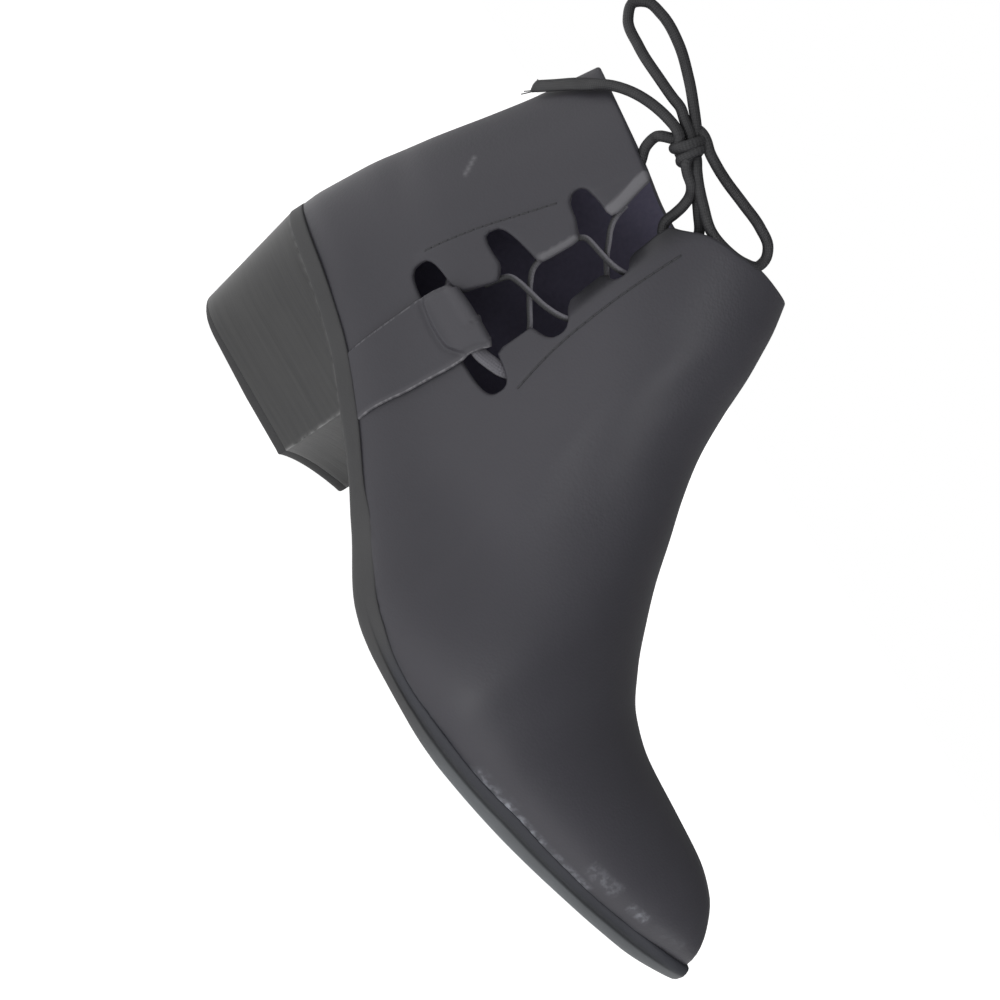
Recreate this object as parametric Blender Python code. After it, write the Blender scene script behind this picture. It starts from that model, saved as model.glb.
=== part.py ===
"""Right ankle boot with a laced cut-out on its outer side, a pointed almond toe and a stacked block heel.

The shoe frame is in millimetres: X runs from the back of the heel seat to the toe, -Y is the outer side and Z
is up from the floor. The finished objects are in metres, with the origin under the middle of the boot.
"""

import bmesh
import bpy
import numpy as np

MM = 0.001
OUTER = -1
INNER = 1
GAP = 0.3
SHARP_ANGLE = 0.6
FINE_POINTS = 400

# Middle of the boot's box in the shoe frame
MIDDLE_X = 132.0
MIDDLE_Y = -3.2

# Sole: place along the foot, outer and inner half-width, height of the underside, thickness of the edge
SOLE_STATIONS = (
    (-0.6, 30.0, 29.5, 38.8, 5.0),
    (25.0, 30.5, 30.0, 37.2, 5.0),
    (48.0, 30.5, 29.5, 32.6, 5.2),
    (72.0, 30.5, 28.5, 23.2, 5.8),
    (100.0, 33.0, 27.0, 9.4, 6.5),
    (122.0, 43.0, 31.0, 1.9, 6.9),
    (140.0, 48.6, 36.5, 0.0, 7.2),
    (160.0, 50.0, 42.0, 0.0, 7.3),
    (176.0, 46.5, 43.5, 0.0, 7.4),
    (200.0, 38.8, 40.0, 4.0, 7.6),
    (225.0, 29.0, 31.0, 8.4, 7.6),
    (250.0, 15.8, 17.0, 14.7, 7.4),
    (264.6, 8.2, 8.5, 19.2, 6.2),
)
SOLE_BACK = -0.6
SOLE_TIP = 264.6
HEEL_ROUND = 36.0
TIP_ROUND = 18.0
TOE_SWING = 4.0
SWING_START = 165.0
SIDE_STEP = 1.3
STEP_START = 120.0
STEP_FULL = 175.0
SOLE_COLUMNS = 44
# Rings of the sole's edge: share of its height, share of the side step, round at the edge
SOLE_RINGS = (
    (0.0, 0.0, 1.6),
    (0.14, 0.0, 0.0),
    (0.44, 0.0, 0.0),
    (0.54, 1.0, 0.0),
    (0.94, 1.0, 0.0),
    (1.0, 1.0, 0.4),
)

# Upper: leather wall, its inset from the sole's edge, and the length it takes to round the back and the toe
WALL = 2.0
FEATHER_INSET = 2.0
UPPER_TIP = 262.2
BACK_ROUND = 37.0
SIDE_BULGE = 2.2
BULGE_HEIGHT = 13.0
SHAFT_RISE = 42.0
SHAFT_FRONT = 88.0
SHAFT_FADE = 75.0
ROUND_POWER = 1.85
ROUND_ROOT = 2.0
UPPER_ROWS = 18
UPPER_COLUMNS = 32

# Dorsal line from the collar to the toe: place along the foot, height
RIDGE = (
    (107.6, 152.3),
    (121.0, 130.2),
    (135.1, 108.2),
    (148.7, 90.2),
    (166.6, 68.4),
    (178.8, 57.5),
    (190.9, 49.6),
    (205.0, 45.9),
    (221.9, 44.9),
    (236.5, 43.9),
    (248.0, 40.8),
    (256.0, 35.2),
    (260.4, 29.8),
    (262.2, 25.0),
)
# Back line: height, place along the foot
BACK = ((43.7, 0.8), (50.0, 0.2), (64.6, 1.4), (86.8, 5.3), (108.5, 9.8), (121.5, 12.4), (142.0, 16.0))
# Collar edge: place along the foot, height
COLLAR = (
    (16.0, 142.0),
    (38.0, 139.6),
    (58.0, 136.6),
    (70.0, 135.4),
    (79.0, 138.0),
    (88.0, 145.0),
    (107.6, 152.3),
)
# Half-width of the shaft: height, half-width
SHAFT = ((40.0, 29.5), (62.0, 32.5), (90.0, 35.0), (120.0, 36.5), (150.0, 37.5))
# Share of a section's height that its rounded crown takes: place along the foot, share
CROWN = ((0.0, 0.30), (40.0, 0.36), (80.0, 0.46), (107.6, 0.60), (122.0, 0.82), (142.0, 1.0), (266.0, 1.0))

# Slots on the outer side: middle along the foot, middle height, half length, half height, roundness
SLOTS = {
    "slot_low": (69.3, 68.5, 22.6, 4.9, 2.6),
    "slot_middle": (67.6, 92.4, 17.8, 5.0, 2.2),
    "slot_high": (67.8, 116.6, 13.4, 4.3, 2.2),
}
SLOT_POINTS = 28
# Side split: height, back edge, front edge
SPLIT = (
    (69.0, 60.2, 79.6),
    (88.0, 64.0, 79.2),
    (97.0, 65.8, 79.3),
    (113.0, 65.8, 79.3),
    (121.0, 66.6, 79.2),
    (135.5, 62.8, 78.8),
    (150.0, 60.0, 78.4),
)
SPLIT_POINTS = 14
CUT_NEAR = -60.0
CUT_FAR = -14.0

# Heel strap over the lowest slot
STRAP_BACK = 54.6
STRAP_FRONT = 78.6
STRAP_FOOT = 0.6
TAB_BOTTOM = 63.6
TAB_TOP = 75.2
STRAP_THICK = 1.5
TAB_THICK = 3.4
TAB_STEP = 3.0
STRAP_ROWS = 18
STRAP_COLUMNS = 10

# Insole
INSOLE_THICK = 2.4
INSOLE_CLEAR = 0.6
INSOLE_SHORT = 7.0
INSOLE_ROUND = 12.0
INSOLE_COLUMNS = 36

# Heel at the floor and at the seat: back, its rounding, outer and inner half-width, outer and inner breast
HEEL_FOOT = (9.2, 34.0, 24.0, 26.0, 68.8, 78.4)
HEEL_SEAT = (0.0, 36.0, 29.4, 28.6, 69.6, 78.8)
BREAST_HOLLOW = 2.6
HEEL_COLUMNS = 14
BREAST_POINTS = 5
HEEL_LEVELS = 5
LIFT_THICK = 5.0
LIFT_EDGE = 0.6

# Lace: a round cord through the slots, tied in a bow over the collar
CORD = 3.4
CORD_STEP = 5.0
CORD_WELD = 0.01
CROSS_DEPTH = -1.0
CROSS_LIFT = 0.9
# Crossings, a rising and a falling strand each: place along the foot, height
CROSSINGS = {
    "lace_cross_lower": (
        ((60.0, 90.0), (70.0, 92.2), (80.3, 94.0)),
        ((60.0, 94.9), (70.0, 92.5), (80.3, 90.8)),
    ),
    "lace_cross_upper": (
        ((60.0, 115.2), (68.5, 116.6), (77.0, 117.7)),
        ((60.0, 118.0), (68.5, 116.7), (77.0, 115.5)),
    ),
}
KNOT_PLACE = (60.0, -36.6, 151.2)
KNOT_HALF = (4.6, 4.1, 3.9)
KNOT_SEGMENTS = 16
KNOT_RINGS = 10
# Bow: route points of each cord in the shoe frame
BOW = {
    "lace_tie_back": (
        (57.4, -32.6, 132.0),
        (56.0, -32.7, 138.5),
        (53.4, -33.6, 143.4),
        (53.2, -34.2, 147.0),
        (55.5, -34.5, 149.0),
    ),
    "lace_tie_front": (
        (80.8, -31.3, 130.5),
        (77.4, -32.0, 135.0),
        (73.2, -33.2, 140.6),
        (69.0, -34.0, 145.0),
        (64.2, -34.2, 147.7),
    ),
    "lace_loop_back": (
        (54.9, -38.6, 153.0),
        (49.0, -38.0, 154.6),
        (39.0, -36.6, 154.4),
        (26.5, -34.6, 154.4),
        (18.0, -33.4, 156.0),
        (14.6, -32.8, 159.6),
        (16.4, -32.4, 163.2),
        (21.5, -32.2, 164.8),
        (31.8, -32.4, 164.4),
        (43.0, -33.2, 161.8),
        (51.2, -33.9, 158.4),
        (56.8, -34.4, 155.6),
    ),
    "lace_loop_front": (
        (65.0, -34.6, 153.4),
        (73.0, -31.6, 155.0),
        (84.0, -26.6, 157.0),
        (92.0, -22.2, 156.6),
        (96.6, -18.9, 154.2),
        (97.6, -17.2, 150.6),
        (95.0, -17.8, 147.2),
        (89.5, -21.2, 145.6),
        (82.0, -26.4, 145.8),
        (74.0, -32.6, 148.4),
        (65.7, -38.4, 150.6),
    ),
    "lace_end_back": (
        (54.8, -38.4, 149.0),
        (46.5, -37.6, 149.6),
        (39.5, -36.0, 147.6),
        (33.0, -33.8, 142.8),
        (28.4, -31.2, 136.6),
        (24.2, -28.4, 130.0),
        (20.4, -25.9, 123.6),
        (19.2, -25.2, 120.6),
    ),
    "lace_end_front": (
        (59.6, -32.4, 147.4),
        (65.6, -28.8, 146.2),
        (73.5, -26.6, 143.4),
        (79.6, -24.8, 138.0),
        (82.6, -24.3, 129.0),
        (83.2, -24.5, 119.0),
        (82.8, -25.0, 111.0),
    ),
}


def curve_through(rows, value=1):
    """A smooth curve through a table's rows, without overshoot, that runs on straight past both ends."""
    places = np.array([row[0] for row in rows])
    values = np.array([row[value] for row in rows])
    widths = np.diff(places)
    slopes = np.diff(values) / widths
    tangents = np.concatenate(([slopes[0]], np.zeros(len(slopes) - 1), [slopes[-1]]))
    for i in range(1, len(slopes)):
        if slopes[i - 1] * slopes[i] > 0:
            ahead = 2 * widths[i] + widths[i - 1]
            behind = widths[i] + 2 * widths[i - 1]
            tangents[i] = (ahead + behind) / (ahead / slopes[i - 1] + behind / slopes[i])

    def at(place):
        place = np.asarray(place, dtype=float)
        held = np.clip(place, places[0], places[-1])
        i = np.clip(np.searchsorted(places, held) - 1, 0, len(widths) - 1)
        t = (held - places[i]) / widths[i]
        rise = values[i] + (values[i + 1] - values[i]) * t * t * (3 - 2 * t)
        lean = widths[i] * t * (1 - t) * (tangents[i] * (1 - t) - tangents[i + 1] * t)
        past = place - held
        return rise + lean + past * np.where(past < 0, tangents[0], tangents[-1])

    return at


outer_half = curve_through(SOLE_STATIONS, 1)
inner_half = curve_through(SOLE_STATIONS, 2)
underside = curve_through(SOLE_STATIONS, 3)
edge_thickness = curve_through(SOLE_STATIONS, 4)
ridge = curve_through(RIDGE)
back_line = curve_through(BACK)
collar = curve_through(COLLAR)
shaft_half = curve_through(SHAFT)
crown_share = curve_through(CROWN)
split_back = curve_through(SPLIT, 1)
split_front = curve_through(SPLIT, 2)


def eased(share):
    share = np.clip(share, 0.0, 1.0)
    return share * share * (3 - 2 * share)


def rounded(share):
    return (1 - (1 - np.clip(share, 0.0, 1.0)) ** ROUND_POWER) ** (1 / ROUND_ROOT)


def feather(x):
    """Height of the line where upper and sole meet."""
    return underside(x) + edge_thickness(x)


def centre_line(x):
    return TOE_SWING * eased((x - SWING_START) / (SOLE_TIP - SWING_START))


def last_half(side, x):
    return outer_half(x) if side == OUTER else inner_half(x)


def sole_half(side, x):
    ends = rounded((x - SOLE_BACK) / HEEL_ROUND) * rounded((SOLE_TIP - x) / TIP_ROUND)
    return last_half(side, x) * ends


def upper_half(side, x, z):
    """Half-width of the upper's outer face at a place in the side view."""
    tip = rounded((UPPER_TIP - x) / TIP_ROUND)
    low = (last_half(side, x) - FEATHER_INSET) * tip
    height = np.maximum(z - feather(x), 0.0)
    shaft = eased(height / SHAFT_RISE) * (1 - eased((x - SHAFT_FRONT) / SHAFT_FADE))
    bulge = SIDE_BULGE * tip * (height / BULGE_HEIGHT) * np.exp(1 - height / BULGE_HEIGHT)
    width = low + (shaft_half(z) - low) * shaft + bulge * (1 - shaft)
    section = np.maximum(ridge(x) - feather(x), GAP)
    crown = rounded((ridge(x) - z) / (section * crown_share(x)))
    return width * crown * rounded((x - back_line(z)) / BACK_ROUND)


def upper_point(side, x, z, out=0.0):
    """A point on the upper's outer face, moved out along the face's normal."""

    def face(px, pz):
        return np.array([px, centre_line(px) + side * upper_half(side, px, pz), pz])

    along = face(x + GAP, z) - face(x - GAP, z)
    up = face(x, z + GAP) - face(x, z - GAP)
    normal = np.cross(along, up) * -side
    return face(x, z) + out * normal / np.linalg.norm(normal)


def spaced(count):
    """Shares from 0 to 1, closer at both ends."""
    return (1 - np.cos(np.pi * np.linspace(0, 1, count + 1))) / 2


def world(points):
    return (np.asarray(points, dtype=float) - (MIDDLE_X, MIDDLE_Y, 0.0)) * MM


def material(name, colour, roughness):
    made = bpy.data.materials.new(name)
    made.use_nodes = True
    shader = made.node_tree.nodes["Principled BSDF"]
    shader.inputs["Base Color"].default_value = (*colour, 1.0)
    shader.inputs["Roughness"].default_value = roughness
    shader.inputs["Metallic"].default_value = 0.0
    return made


def add_mesh(name, bm, look, collection):
    mesh = bpy.data.meshes.new(name)
    bmesh.ops.recalc_face_normals(bm, faces=bm.faces)
    bm.to_mesh(mesh)
    bm.free()
    mesh.shade_smooth()
    mesh.set_sharp_from_angle(angle=SHARP_ANGLE)
    if look:
        mesh.materials.append(look)
    made = bpy.data.objects.new(name, mesh)
    collection.objects.link(made)
    return made


def loft(rings, cap=None):
    """Faces between rings of equal count, capped at both ends, or joined last to first without a cap."""
    bm = bmesh.new()
    rows = [[bm.verts.new(point) for point in world(ring)] for ring in rings]
    count = len(rows[0])
    pairs = list(zip(rows, rows[1:]))
    if cap is None:
        pairs.append((rows[-1], rows[0]))
    for low, high in pairs:
        for j in range(count):
            k = (j + 1) % count
            bm.faces.new((low[j], low[k], high[k], high[j]))
    if cap is not None:
        for row in (rows[0], rows[-1]):
            for corners in cap(row):
                bm.faces.new(corners)
    return bm


def strips_across(row):
    """Faces from side to side over a plan that starts at its back and has its front half way round."""
    count = len(row)
    for j in range(count // 2):
        strip = (row[j], row[j + 1], row[count - j - 1], row[(count - j) % count])
        yield tuple(dict.fromkeys(strip))


def ring_of(x, outer_y, inner_y):
    """Plan of a piece, from its back along the outer side to its front and back along the inner side."""
    outer = np.stack([x, outer_y], axis=1)
    inner = np.stack([x, inner_y], axis=1)
    return np.concatenate([outer, inner[-2:0:-1]])


def inset(plan, by):
    """A plan moved in from its edge."""
    along = np.roll(plan, -1, axis=0) - np.roll(plan, 1, axis=0)
    normal = np.stack([along[:, 1], -along[:, 0]], axis=1)
    normal /= np.linalg.norm(normal, axis=1)[:, None]
    return plan - normal * np.asarray(by).reshape(-1, 1)


def sole_plan(columns):
    x = SOLE_BACK + (SOLE_TIP - SOLE_BACK) * spaced(columns)
    return ring_of(x, centre_line(x) - sole_half(OUTER, x), centre_line(x) + sole_half(INNER, x))


def outsole(look, collection):
    """Sole with its edge as a stack of rings, the upper band set back at the forefoot."""
    plan = sole_plan(SOLE_COLUMNS)
    step = SIDE_STEP * eased((plan[:, 0] - STEP_START) / (STEP_FULL - STEP_START))
    rings = []
    for share, stepped, edge in SOLE_RINGS:
        ring = inset(plan, step * stepped + edge)
        low = underside(ring[:, 0])
        high = feather(ring[:, 0]) - GAP
        rings.append(np.column_stack([ring, low + (high - low) * share]))
    return add_mesh("outsole", loft(rings, strips_across), look, collection)


def side_grid():
    """Rows and columns over the side view, between feather line, dorsal line, collar and back line."""
    s = spaced(UPPER_COLUMNS)[None, :]
    v = np.linspace(0, 1, UPPER_ROWS + 1)[:, None]
    heel_x = BACK[0][1]
    bottom_x = heel_x + (UPPER_TIP - heel_x) * s
    bottom = np.stack([bottom_x, feather(bottom_x)], axis=-1)
    top_x = COLLAR[0][0] + (COLLAR[-1][0] - COLLAR[0][0]) * s
    top = np.stack([top_x, collar(top_x)], axis=-1)
    back_z = feather(heel_x) + (COLLAR[0][1] - feather(heel_x)) * v
    back = np.stack([back_line(back_z), back_z], axis=-1)
    fine_x = np.linspace(UPPER_TIP, RIDGE[0][0], FINE_POINTS)
    run = run_along(np.stack([fine_x, ridge(fine_x)], axis=1))
    front_x = np.interp(v * run[-1], run, fine_x)
    front = np.stack([front_x, ridge(front_x)], axis=-1)
    s = s[..., None]
    v = v[..., None]
    corners = (1 - s) * (1 - v) * bottom[:, :1] + s * (1 - v) * bottom[:, -1:]
    corners = corners + (1 - s) * v * top[:, :1] + s * v * top[:, -1:]
    return (1 - v) * bottom + v * top + (1 - s) * back + s * front - corners


def upper_rings():
    """The upper's faces as rings, from the feather line up to the collar and down inside again."""
    grid = side_grid()
    x = grid[..., 0]
    z = grid[..., 1]
    halves = {side: upper_half(side, x, z) for side in (OUTER, INNER)}
    for half in halves.values():
        half[:, 0] = 0.0
        half[:, -1] = 0.0
    outer = np.stack([x, centre_line(x) - halves[OUTER], z], axis=-1)
    inner = np.stack([x, centre_line(x) + halves[INNER], z], axis=-1)
    face = np.concatenate([outer, inner[:, -2:0:-1]], axis=1)
    along = np.roll(face, -1, axis=1) - np.roll(face, 1, axis=1)
    up = np.gradient(face, axis=0)
    normal = np.cross(along, up)
    normal /= np.linalg.norm(normal, axis=-1)[..., None]
    lining = face - WALL * normal
    lining[0, :, 2] = feather(lining[0, :, 0])
    return [*face, *lining[::-1]]


def insole(look, collection):
    """Sock on the sole, inside the foot of the upper's wall and a little short of it at heel and toe."""
    foot = upper_rings()[-1]
    outer = foot[: UPPER_COLUMNS + 1]
    inner = np.concatenate([foot[:1], foot[: UPPER_COLUMNS - 1 : -1]])
    start = outer[0, 0] + INSOLE_CLEAR
    end = outer[-1, 0] - INSOLE_SHORT
    x = start + (end - start) * spaced(INSOLE_COLUMNS)
    closed = rounded((x - start) / INSOLE_ROUND) * rounded((end - x) / INSOLE_ROUND)
    outer_y = np.interp(x, outer[:, 0], outer[:, 1])
    inner_y = np.interp(x, inner[:, 0], inner[:, 1])
    middle = (outer_y + inner_y) / 2
    half = (inner_y - outer_y) / 2 - INSOLE_CLEAR
    plan = ring_of(x, middle - half * closed, middle + half * closed)
    rings = []
    for lift in (0.0, INSOLE_THICK):
        rings.append(np.column_stack([plan, feather(plan[:, 0]) + lift]))
    return add_mesh("insole", loft(rings, strips_across), look, collection)


def prism(name, outline, collection):
    """Cutter through the outer side, from an outline in the side view."""
    bm = bmesh.new()
    points = world([(x, CUT_NEAR, z) for x, z in outline])
    near = bm.faces.new([bm.verts.new(point) for point in points])
    made = bmesh.ops.extrude_face_region(bm, geom=[near])
    moved = [item for item in made["geom"] if isinstance(item, bmesh.types.BMVert)]
    bmesh.ops.translate(bm, verts=moved, vec=(0.0, (CUT_FAR - CUT_NEAR) * MM, 0.0))
    cutter = add_mesh(name, bm, None, collection)
    cutter.hide_render = True
    cutter.display_type = "WIRE"
    return cutter


def slot_outline(middle_x, middle_z, half_length, half_height, roundness):
    angles = np.linspace(0, 2 * np.pi, SLOT_POINTS, endpoint=False)
    across = np.sign(np.cos(angles)) * np.abs(np.cos(angles)) ** (2 / roundness)
    high = np.sign(np.sin(angles)) * np.abs(np.sin(angles)) ** (2 / roundness)
    return list(zip(middle_x + half_length * across, middle_z + half_height * high))


def split_outline():
    heights = np.linspace(SPLIT[0][0], SPLIT[-1][0], SPLIT_POINTS)
    behind = [(float(split_back(z)), float(z)) for z in heights]
    ahead = [(float(split_front(z)), float(z)) for z in heights[::-1]]
    return behind + ahead


def upper(look, collection, cutters):
    """Hollow leather wall with the side split and its three slots cut through the outer side."""
    made = add_mesh("upper", loft(upper_rings()), look, collection)
    outlines = {name: slot_outline(*sizes) for name, sizes in SLOTS.items()}
    outlines["side_split"] = split_outline()
    for name, outline in outlines.items():
        cut = made.modifiers.new(name, "BOOLEAN")
        cut.operation = "DIFFERENCE"
        cut.object = prism(name, outline, cutters)
    return made


def heel_strap(look, collection):
    """Strap on the upper's outer face, with a thicker folded tab that bridges the lowest slot."""
    bm = bmesh.new()
    layers = []
    for x in np.linspace(STRAP_BACK, STRAP_FRONT, STRAP_COLUMNS + 1):
        foot = feather(x) + STRAP_FOOT
        heights = np.linspace(foot, TAB_TOP, STRAP_ROWS + 1)
        thick = STRAP_THICK + (TAB_THICK - STRAP_THICK) * eased((heights - TAB_BOTTOM) / TAB_STEP + 0.5)
        under = [upper_point(OUTER, x, z, GAP) for z in heights]
        over = [upper_point(OUTER, x, z, GAP + t) for z, t in zip(heights, thick)]
        layers.append([bm.verts.new(point) for point in world(under + over[::-1])])
    count = len(layers[0])
    for low, high in zip(layers, layers[1:]):
        for j in range(count):
            k = (j + 1) % count
            bm.faces.new((low[j], low[k], high[k], high[j]))
    for layer in (layers[0], layers[-1]):
        for j in range(STRAP_ROWS):
            bm.faces.new((layer[j], layer[j + 1], layer[count - j - 2], layer[count - j - 1]))
    return add_mesh("heel_strap", bm, look, collection)


def heel_ring(sizes, height):
    """Plan of the heel at one level, with its hollow breast closing the front."""
    back, rounding, outer, inner, breast_outer, breast_inner = sizes
    shares = spaced(2 * HEEL_COLUMNS)[: HEEL_COLUMNS + 1] * 2
    outer_x = back + (breast_outer - back) * shares
    inner_x = back + (breast_inner - back) * shares
    outer_y = -outer * rounded((outer_x - back) / rounding)
    inner_y = inner * rounded((inner_x - back) / rounding)
    across = np.linspace(-1, 1, BREAST_POINTS + 2)[1:-1]
    breast_x = np.interp(across, (-1, 1), (breast_outer, breast_inner)) - BREAST_HOLLOW * (1 - across**2)
    breast_y = np.interp(across, (-1, 1), (outer_y[-1], inner_y[-1]))
    x = np.concatenate([outer_x, breast_x, inner_x[:0:-1]])
    y = np.concatenate([outer_y, breast_y, inner_y[:0:-1]])
    return np.column_stack([x, y, np.full(len(x), height)])


def heel_cap(row):
    """Faces from side to side over the heel's plan, and one behind its breast."""
    breast = HEEL_COLUMNS + BREAST_POINTS + 1
    inner = [row[0]] + row[: breast - 1 : -1]
    for j in range(HEEL_COLUMNS):
        yield tuple(dict.fromkeys((row[j], row[j + 1], inner[j + 1], inner[j])))
    yield tuple(row[HEEL_COLUMNS : breast + 1])


def heel_level(share):
    return [foot + (seat - foot) * share for foot, seat in zip(HEEL_FOOT, HEEL_SEAT)]


def heel_stack(look, collection):
    """Block heel from the top lift up to the sole's underside."""
    floor = LIFT_THICK + GAP
    rings = []
    for share in np.linspace(0, 1, HEEL_LEVELS):
        ring = heel_ring(heel_level(share), floor)
        ring[:, 2] += (underside(ring[:, 0]) - GAP - floor) * share
        rings.append(ring)
    return add_mesh("heel_stack", loft(rings, heel_cap), look, collection)


def heel_top_lift(look, collection):
    """Wearing piece under the heel, flat on the floor, with a small round at its lower edge."""
    rings = []
    for edge, height in ((LIFT_EDGE, 0.0), (0.0, LIFT_EDGE), (0.0, LIFT_THICK)):
        ring = heel_ring(HEEL_FOOT, height)
        rings.append(np.column_stack([inset(ring[:, :2], np.full(len(ring), edge)), ring[:, 2]]))
    return add_mesh("heel_top_lift", loft(rings, heel_cap), look, collection)


def run_along(points):
    """Length from the first point to each point of a line."""
    return np.concatenate(([0.0], np.cumsum(np.linalg.norm(np.diff(points, axis=0), axis=1))))


def smooth_route(points, step):
    """Evenly spaced points along a smooth curve through a cord's route points."""
    points = np.asarray(points, dtype=float)
    run = run_along(points)
    tangents = np.gradient(points, run, axis=0)
    fine = np.linspace(0, run[-1], FINE_POINTS)
    i = np.clip(np.searchsorted(run, fine) - 1, 0, len(points) - 2)
    width = (run[i + 1] - run[i])[:, None]
    t = (fine - run[i])[:, None] / width
    curve = points[i] + (points[i + 1] - points[i]) * t * t * (3 - 2 * t)
    curve = curve + width * t * (1 - t) * (tangents[i] * (1 - t) - tangents[i + 1] * t)
    length = run_along(curve)
    even = np.linspace(0, length[-1], int(np.ceil(length[-1] / step)) + 1)
    return np.column_stack([np.interp(even, length, curve[:, k]) for k in range(3)])


def cord(name, route, look, collection):
    """Round cord along a route, with flat ends."""
    data = bpy.data.curves.new(name, "CURVE")
    data.dimensions = "3D"
    data.bevel_depth = CORD / 2 * MM
    data.bevel_resolution = 2
    data.use_fill_caps = True
    points = world(smooth_route(route, CORD_STEP))
    spline = data.splines.new("POLY")
    spline.points.add(len(points) - 1)
    for point, place in zip(spline.points, points):
        point.co = (*place, 1.0)
    data.materials.append(look)
    made = bpy.data.objects.new(name, data)
    collection.objects.link(made)
    return made


def cord_as_mesh(curve, collection):
    """The cord as a closed mesh with its caps welded, in place of its curve."""
    bpy.context.view_layer.update()
    graph = bpy.context.evaluated_depsgraph_get()
    mesh = bpy.data.meshes.new_from_object(curve.evaluated_get(graph))
    name = curve.name
    place = curve.matrix_world.copy()
    bpy.data.objects.remove(curve, do_unlink=True)
    bm = bmesh.new()
    bm.from_mesh(mesh)
    bmesh.ops.remove_doubles(bm, verts=bm.verts, dist=CORD_WELD * MM)
    bm.to_mesh(mesh)
    bm.free()
    made = bpy.data.objects.new(name, mesh)
    made.matrix_world = place
    collection.objects.link(made)
    return made


def lace_crossing(name, strands, look, collection, cutters):
    """Two strands joined where one lies over the other, in the middle of the wall's depth."""
    meshes = []
    for label, route, lift in ((name, strands[0], CROSS_LIFT), (name + "_under", strands[1], -CROSS_LIFT)):
        depths = (CROSS_DEPTH, CROSS_DEPTH + lift, CROSS_DEPTH)
        points = [upper_point(OUTER, x, z, depth) for (x, z), depth in zip(route, depths)]
        home = collection if label == name else cutters
        meshes.append(cord_as_mesh(cord(label, points, look, home), home))
    over, under = meshes
    under.hide_render = True
    under.display_type = "WIRE"
    joined = over.modifiers.new("under_strand", "BOOLEAN")
    joined.operation = "UNION"
    joined.object = under
    return over


def lace_knot(look, collection):
    """Body of the bow's knot, which the cords end against."""
    bm = bmesh.new()
    bmesh.ops.create_uvsphere(bm, u_segments=KNOT_SEGMENTS, v_segments=KNOT_RINGS, radius=MM)
    bmesh.ops.scale(bm, verts=bm.verts, vec=KNOT_HALF)
    made = add_mesh("lace_knot", bm, look, collection)
    made.location = world(KNOT_PLACE)
    return made


def clear_scene():
    for item in list(bpy.data.objects):
        bpy.data.objects.remove(item, do_unlink=True)


def collection_named(name):
    made = bpy.data.collections.new(name)
    bpy.context.scene.collection.children.link(made)
    return made


clear_scene()
boot = collection_named("cutout_ankle_boot")
cutters = collection_named("cutters")
leather = material("upper_leather", (0.066, 0.065, 0.073), 0.5)
strap_leather = material("strap_leather", (0.068, 0.067, 0.074), 0.5)
sole_rubber = material("sole_rubber", (0.075, 0.078, 0.079), 0.6)
stacked_heel = material("stacked_heel", (0.075, 0.073, 0.07), 0.5)
lift_rubber = material("lift_rubber", (0.03, 0.03, 0.031), 0.7)
sock_lining = material("sock_lining", (0.05, 0.048, 0.05), 0.8)
lace_cord = material("lace_cord", (0.042, 0.042, 0.043), 0.75)
outsole(sole_rubber, boot)
heel_stack(stacked_heel, boot)
heel_top_lift(lift_rubber, boot)
insole(sock_lining, boot)
upper(leather, boot, cutters)
heel_strap(strap_leather, boot)
for crossing, strands in CROSSINGS.items():
    lace_crossing(crossing, strands, lace_cord, boot, cutters)
lace_knot(lace_cord, boot)
for free_cord, route in BOW.items():
    cord(free_cord, route, lace_cord, boot)
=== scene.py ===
"""Right ankle boot with a laced cut-out on its outer side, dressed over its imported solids.

Sizes are in millimetres in the shoe frame: X runs from the back of the heel seat to the toe, -Y is the outer side
and Z is up from the floor.
"""

import bmesh
import bpy
import numpy as np
from mathutils import Matrix, Vector


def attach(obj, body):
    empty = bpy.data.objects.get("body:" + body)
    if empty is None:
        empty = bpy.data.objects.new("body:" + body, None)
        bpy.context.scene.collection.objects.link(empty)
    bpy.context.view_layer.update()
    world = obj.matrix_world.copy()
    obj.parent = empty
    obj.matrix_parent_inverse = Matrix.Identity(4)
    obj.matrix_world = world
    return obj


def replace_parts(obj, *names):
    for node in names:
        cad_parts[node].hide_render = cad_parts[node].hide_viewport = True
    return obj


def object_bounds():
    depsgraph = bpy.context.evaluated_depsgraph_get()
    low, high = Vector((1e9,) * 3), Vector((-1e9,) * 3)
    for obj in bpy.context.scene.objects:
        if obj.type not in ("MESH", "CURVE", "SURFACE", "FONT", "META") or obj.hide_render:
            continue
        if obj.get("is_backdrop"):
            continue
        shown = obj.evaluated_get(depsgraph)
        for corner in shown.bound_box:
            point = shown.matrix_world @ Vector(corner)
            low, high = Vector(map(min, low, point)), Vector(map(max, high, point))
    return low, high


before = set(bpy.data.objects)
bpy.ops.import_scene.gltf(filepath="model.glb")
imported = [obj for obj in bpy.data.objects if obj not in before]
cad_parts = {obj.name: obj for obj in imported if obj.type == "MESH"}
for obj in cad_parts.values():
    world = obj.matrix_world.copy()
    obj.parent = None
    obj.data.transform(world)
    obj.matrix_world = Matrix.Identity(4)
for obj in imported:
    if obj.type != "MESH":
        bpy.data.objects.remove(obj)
cad_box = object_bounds()
bpy.ops.object.select_all(action="DESELECT")

# Outsole: one rubber sole from the heel seat to the toe, moulded, buffed and cemented under the lasted upper.
# Its side is plain at the waist; from the ball on it is a pale lower band under a darker band that is set back.
MM = 0.001
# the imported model's origin in the shoe frame
MIDDLE = np.array((132.0, -3.2, 0.0))
OUTER = -1
INNER = 1
# a small step or clearance
GAP = 0.3
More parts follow.
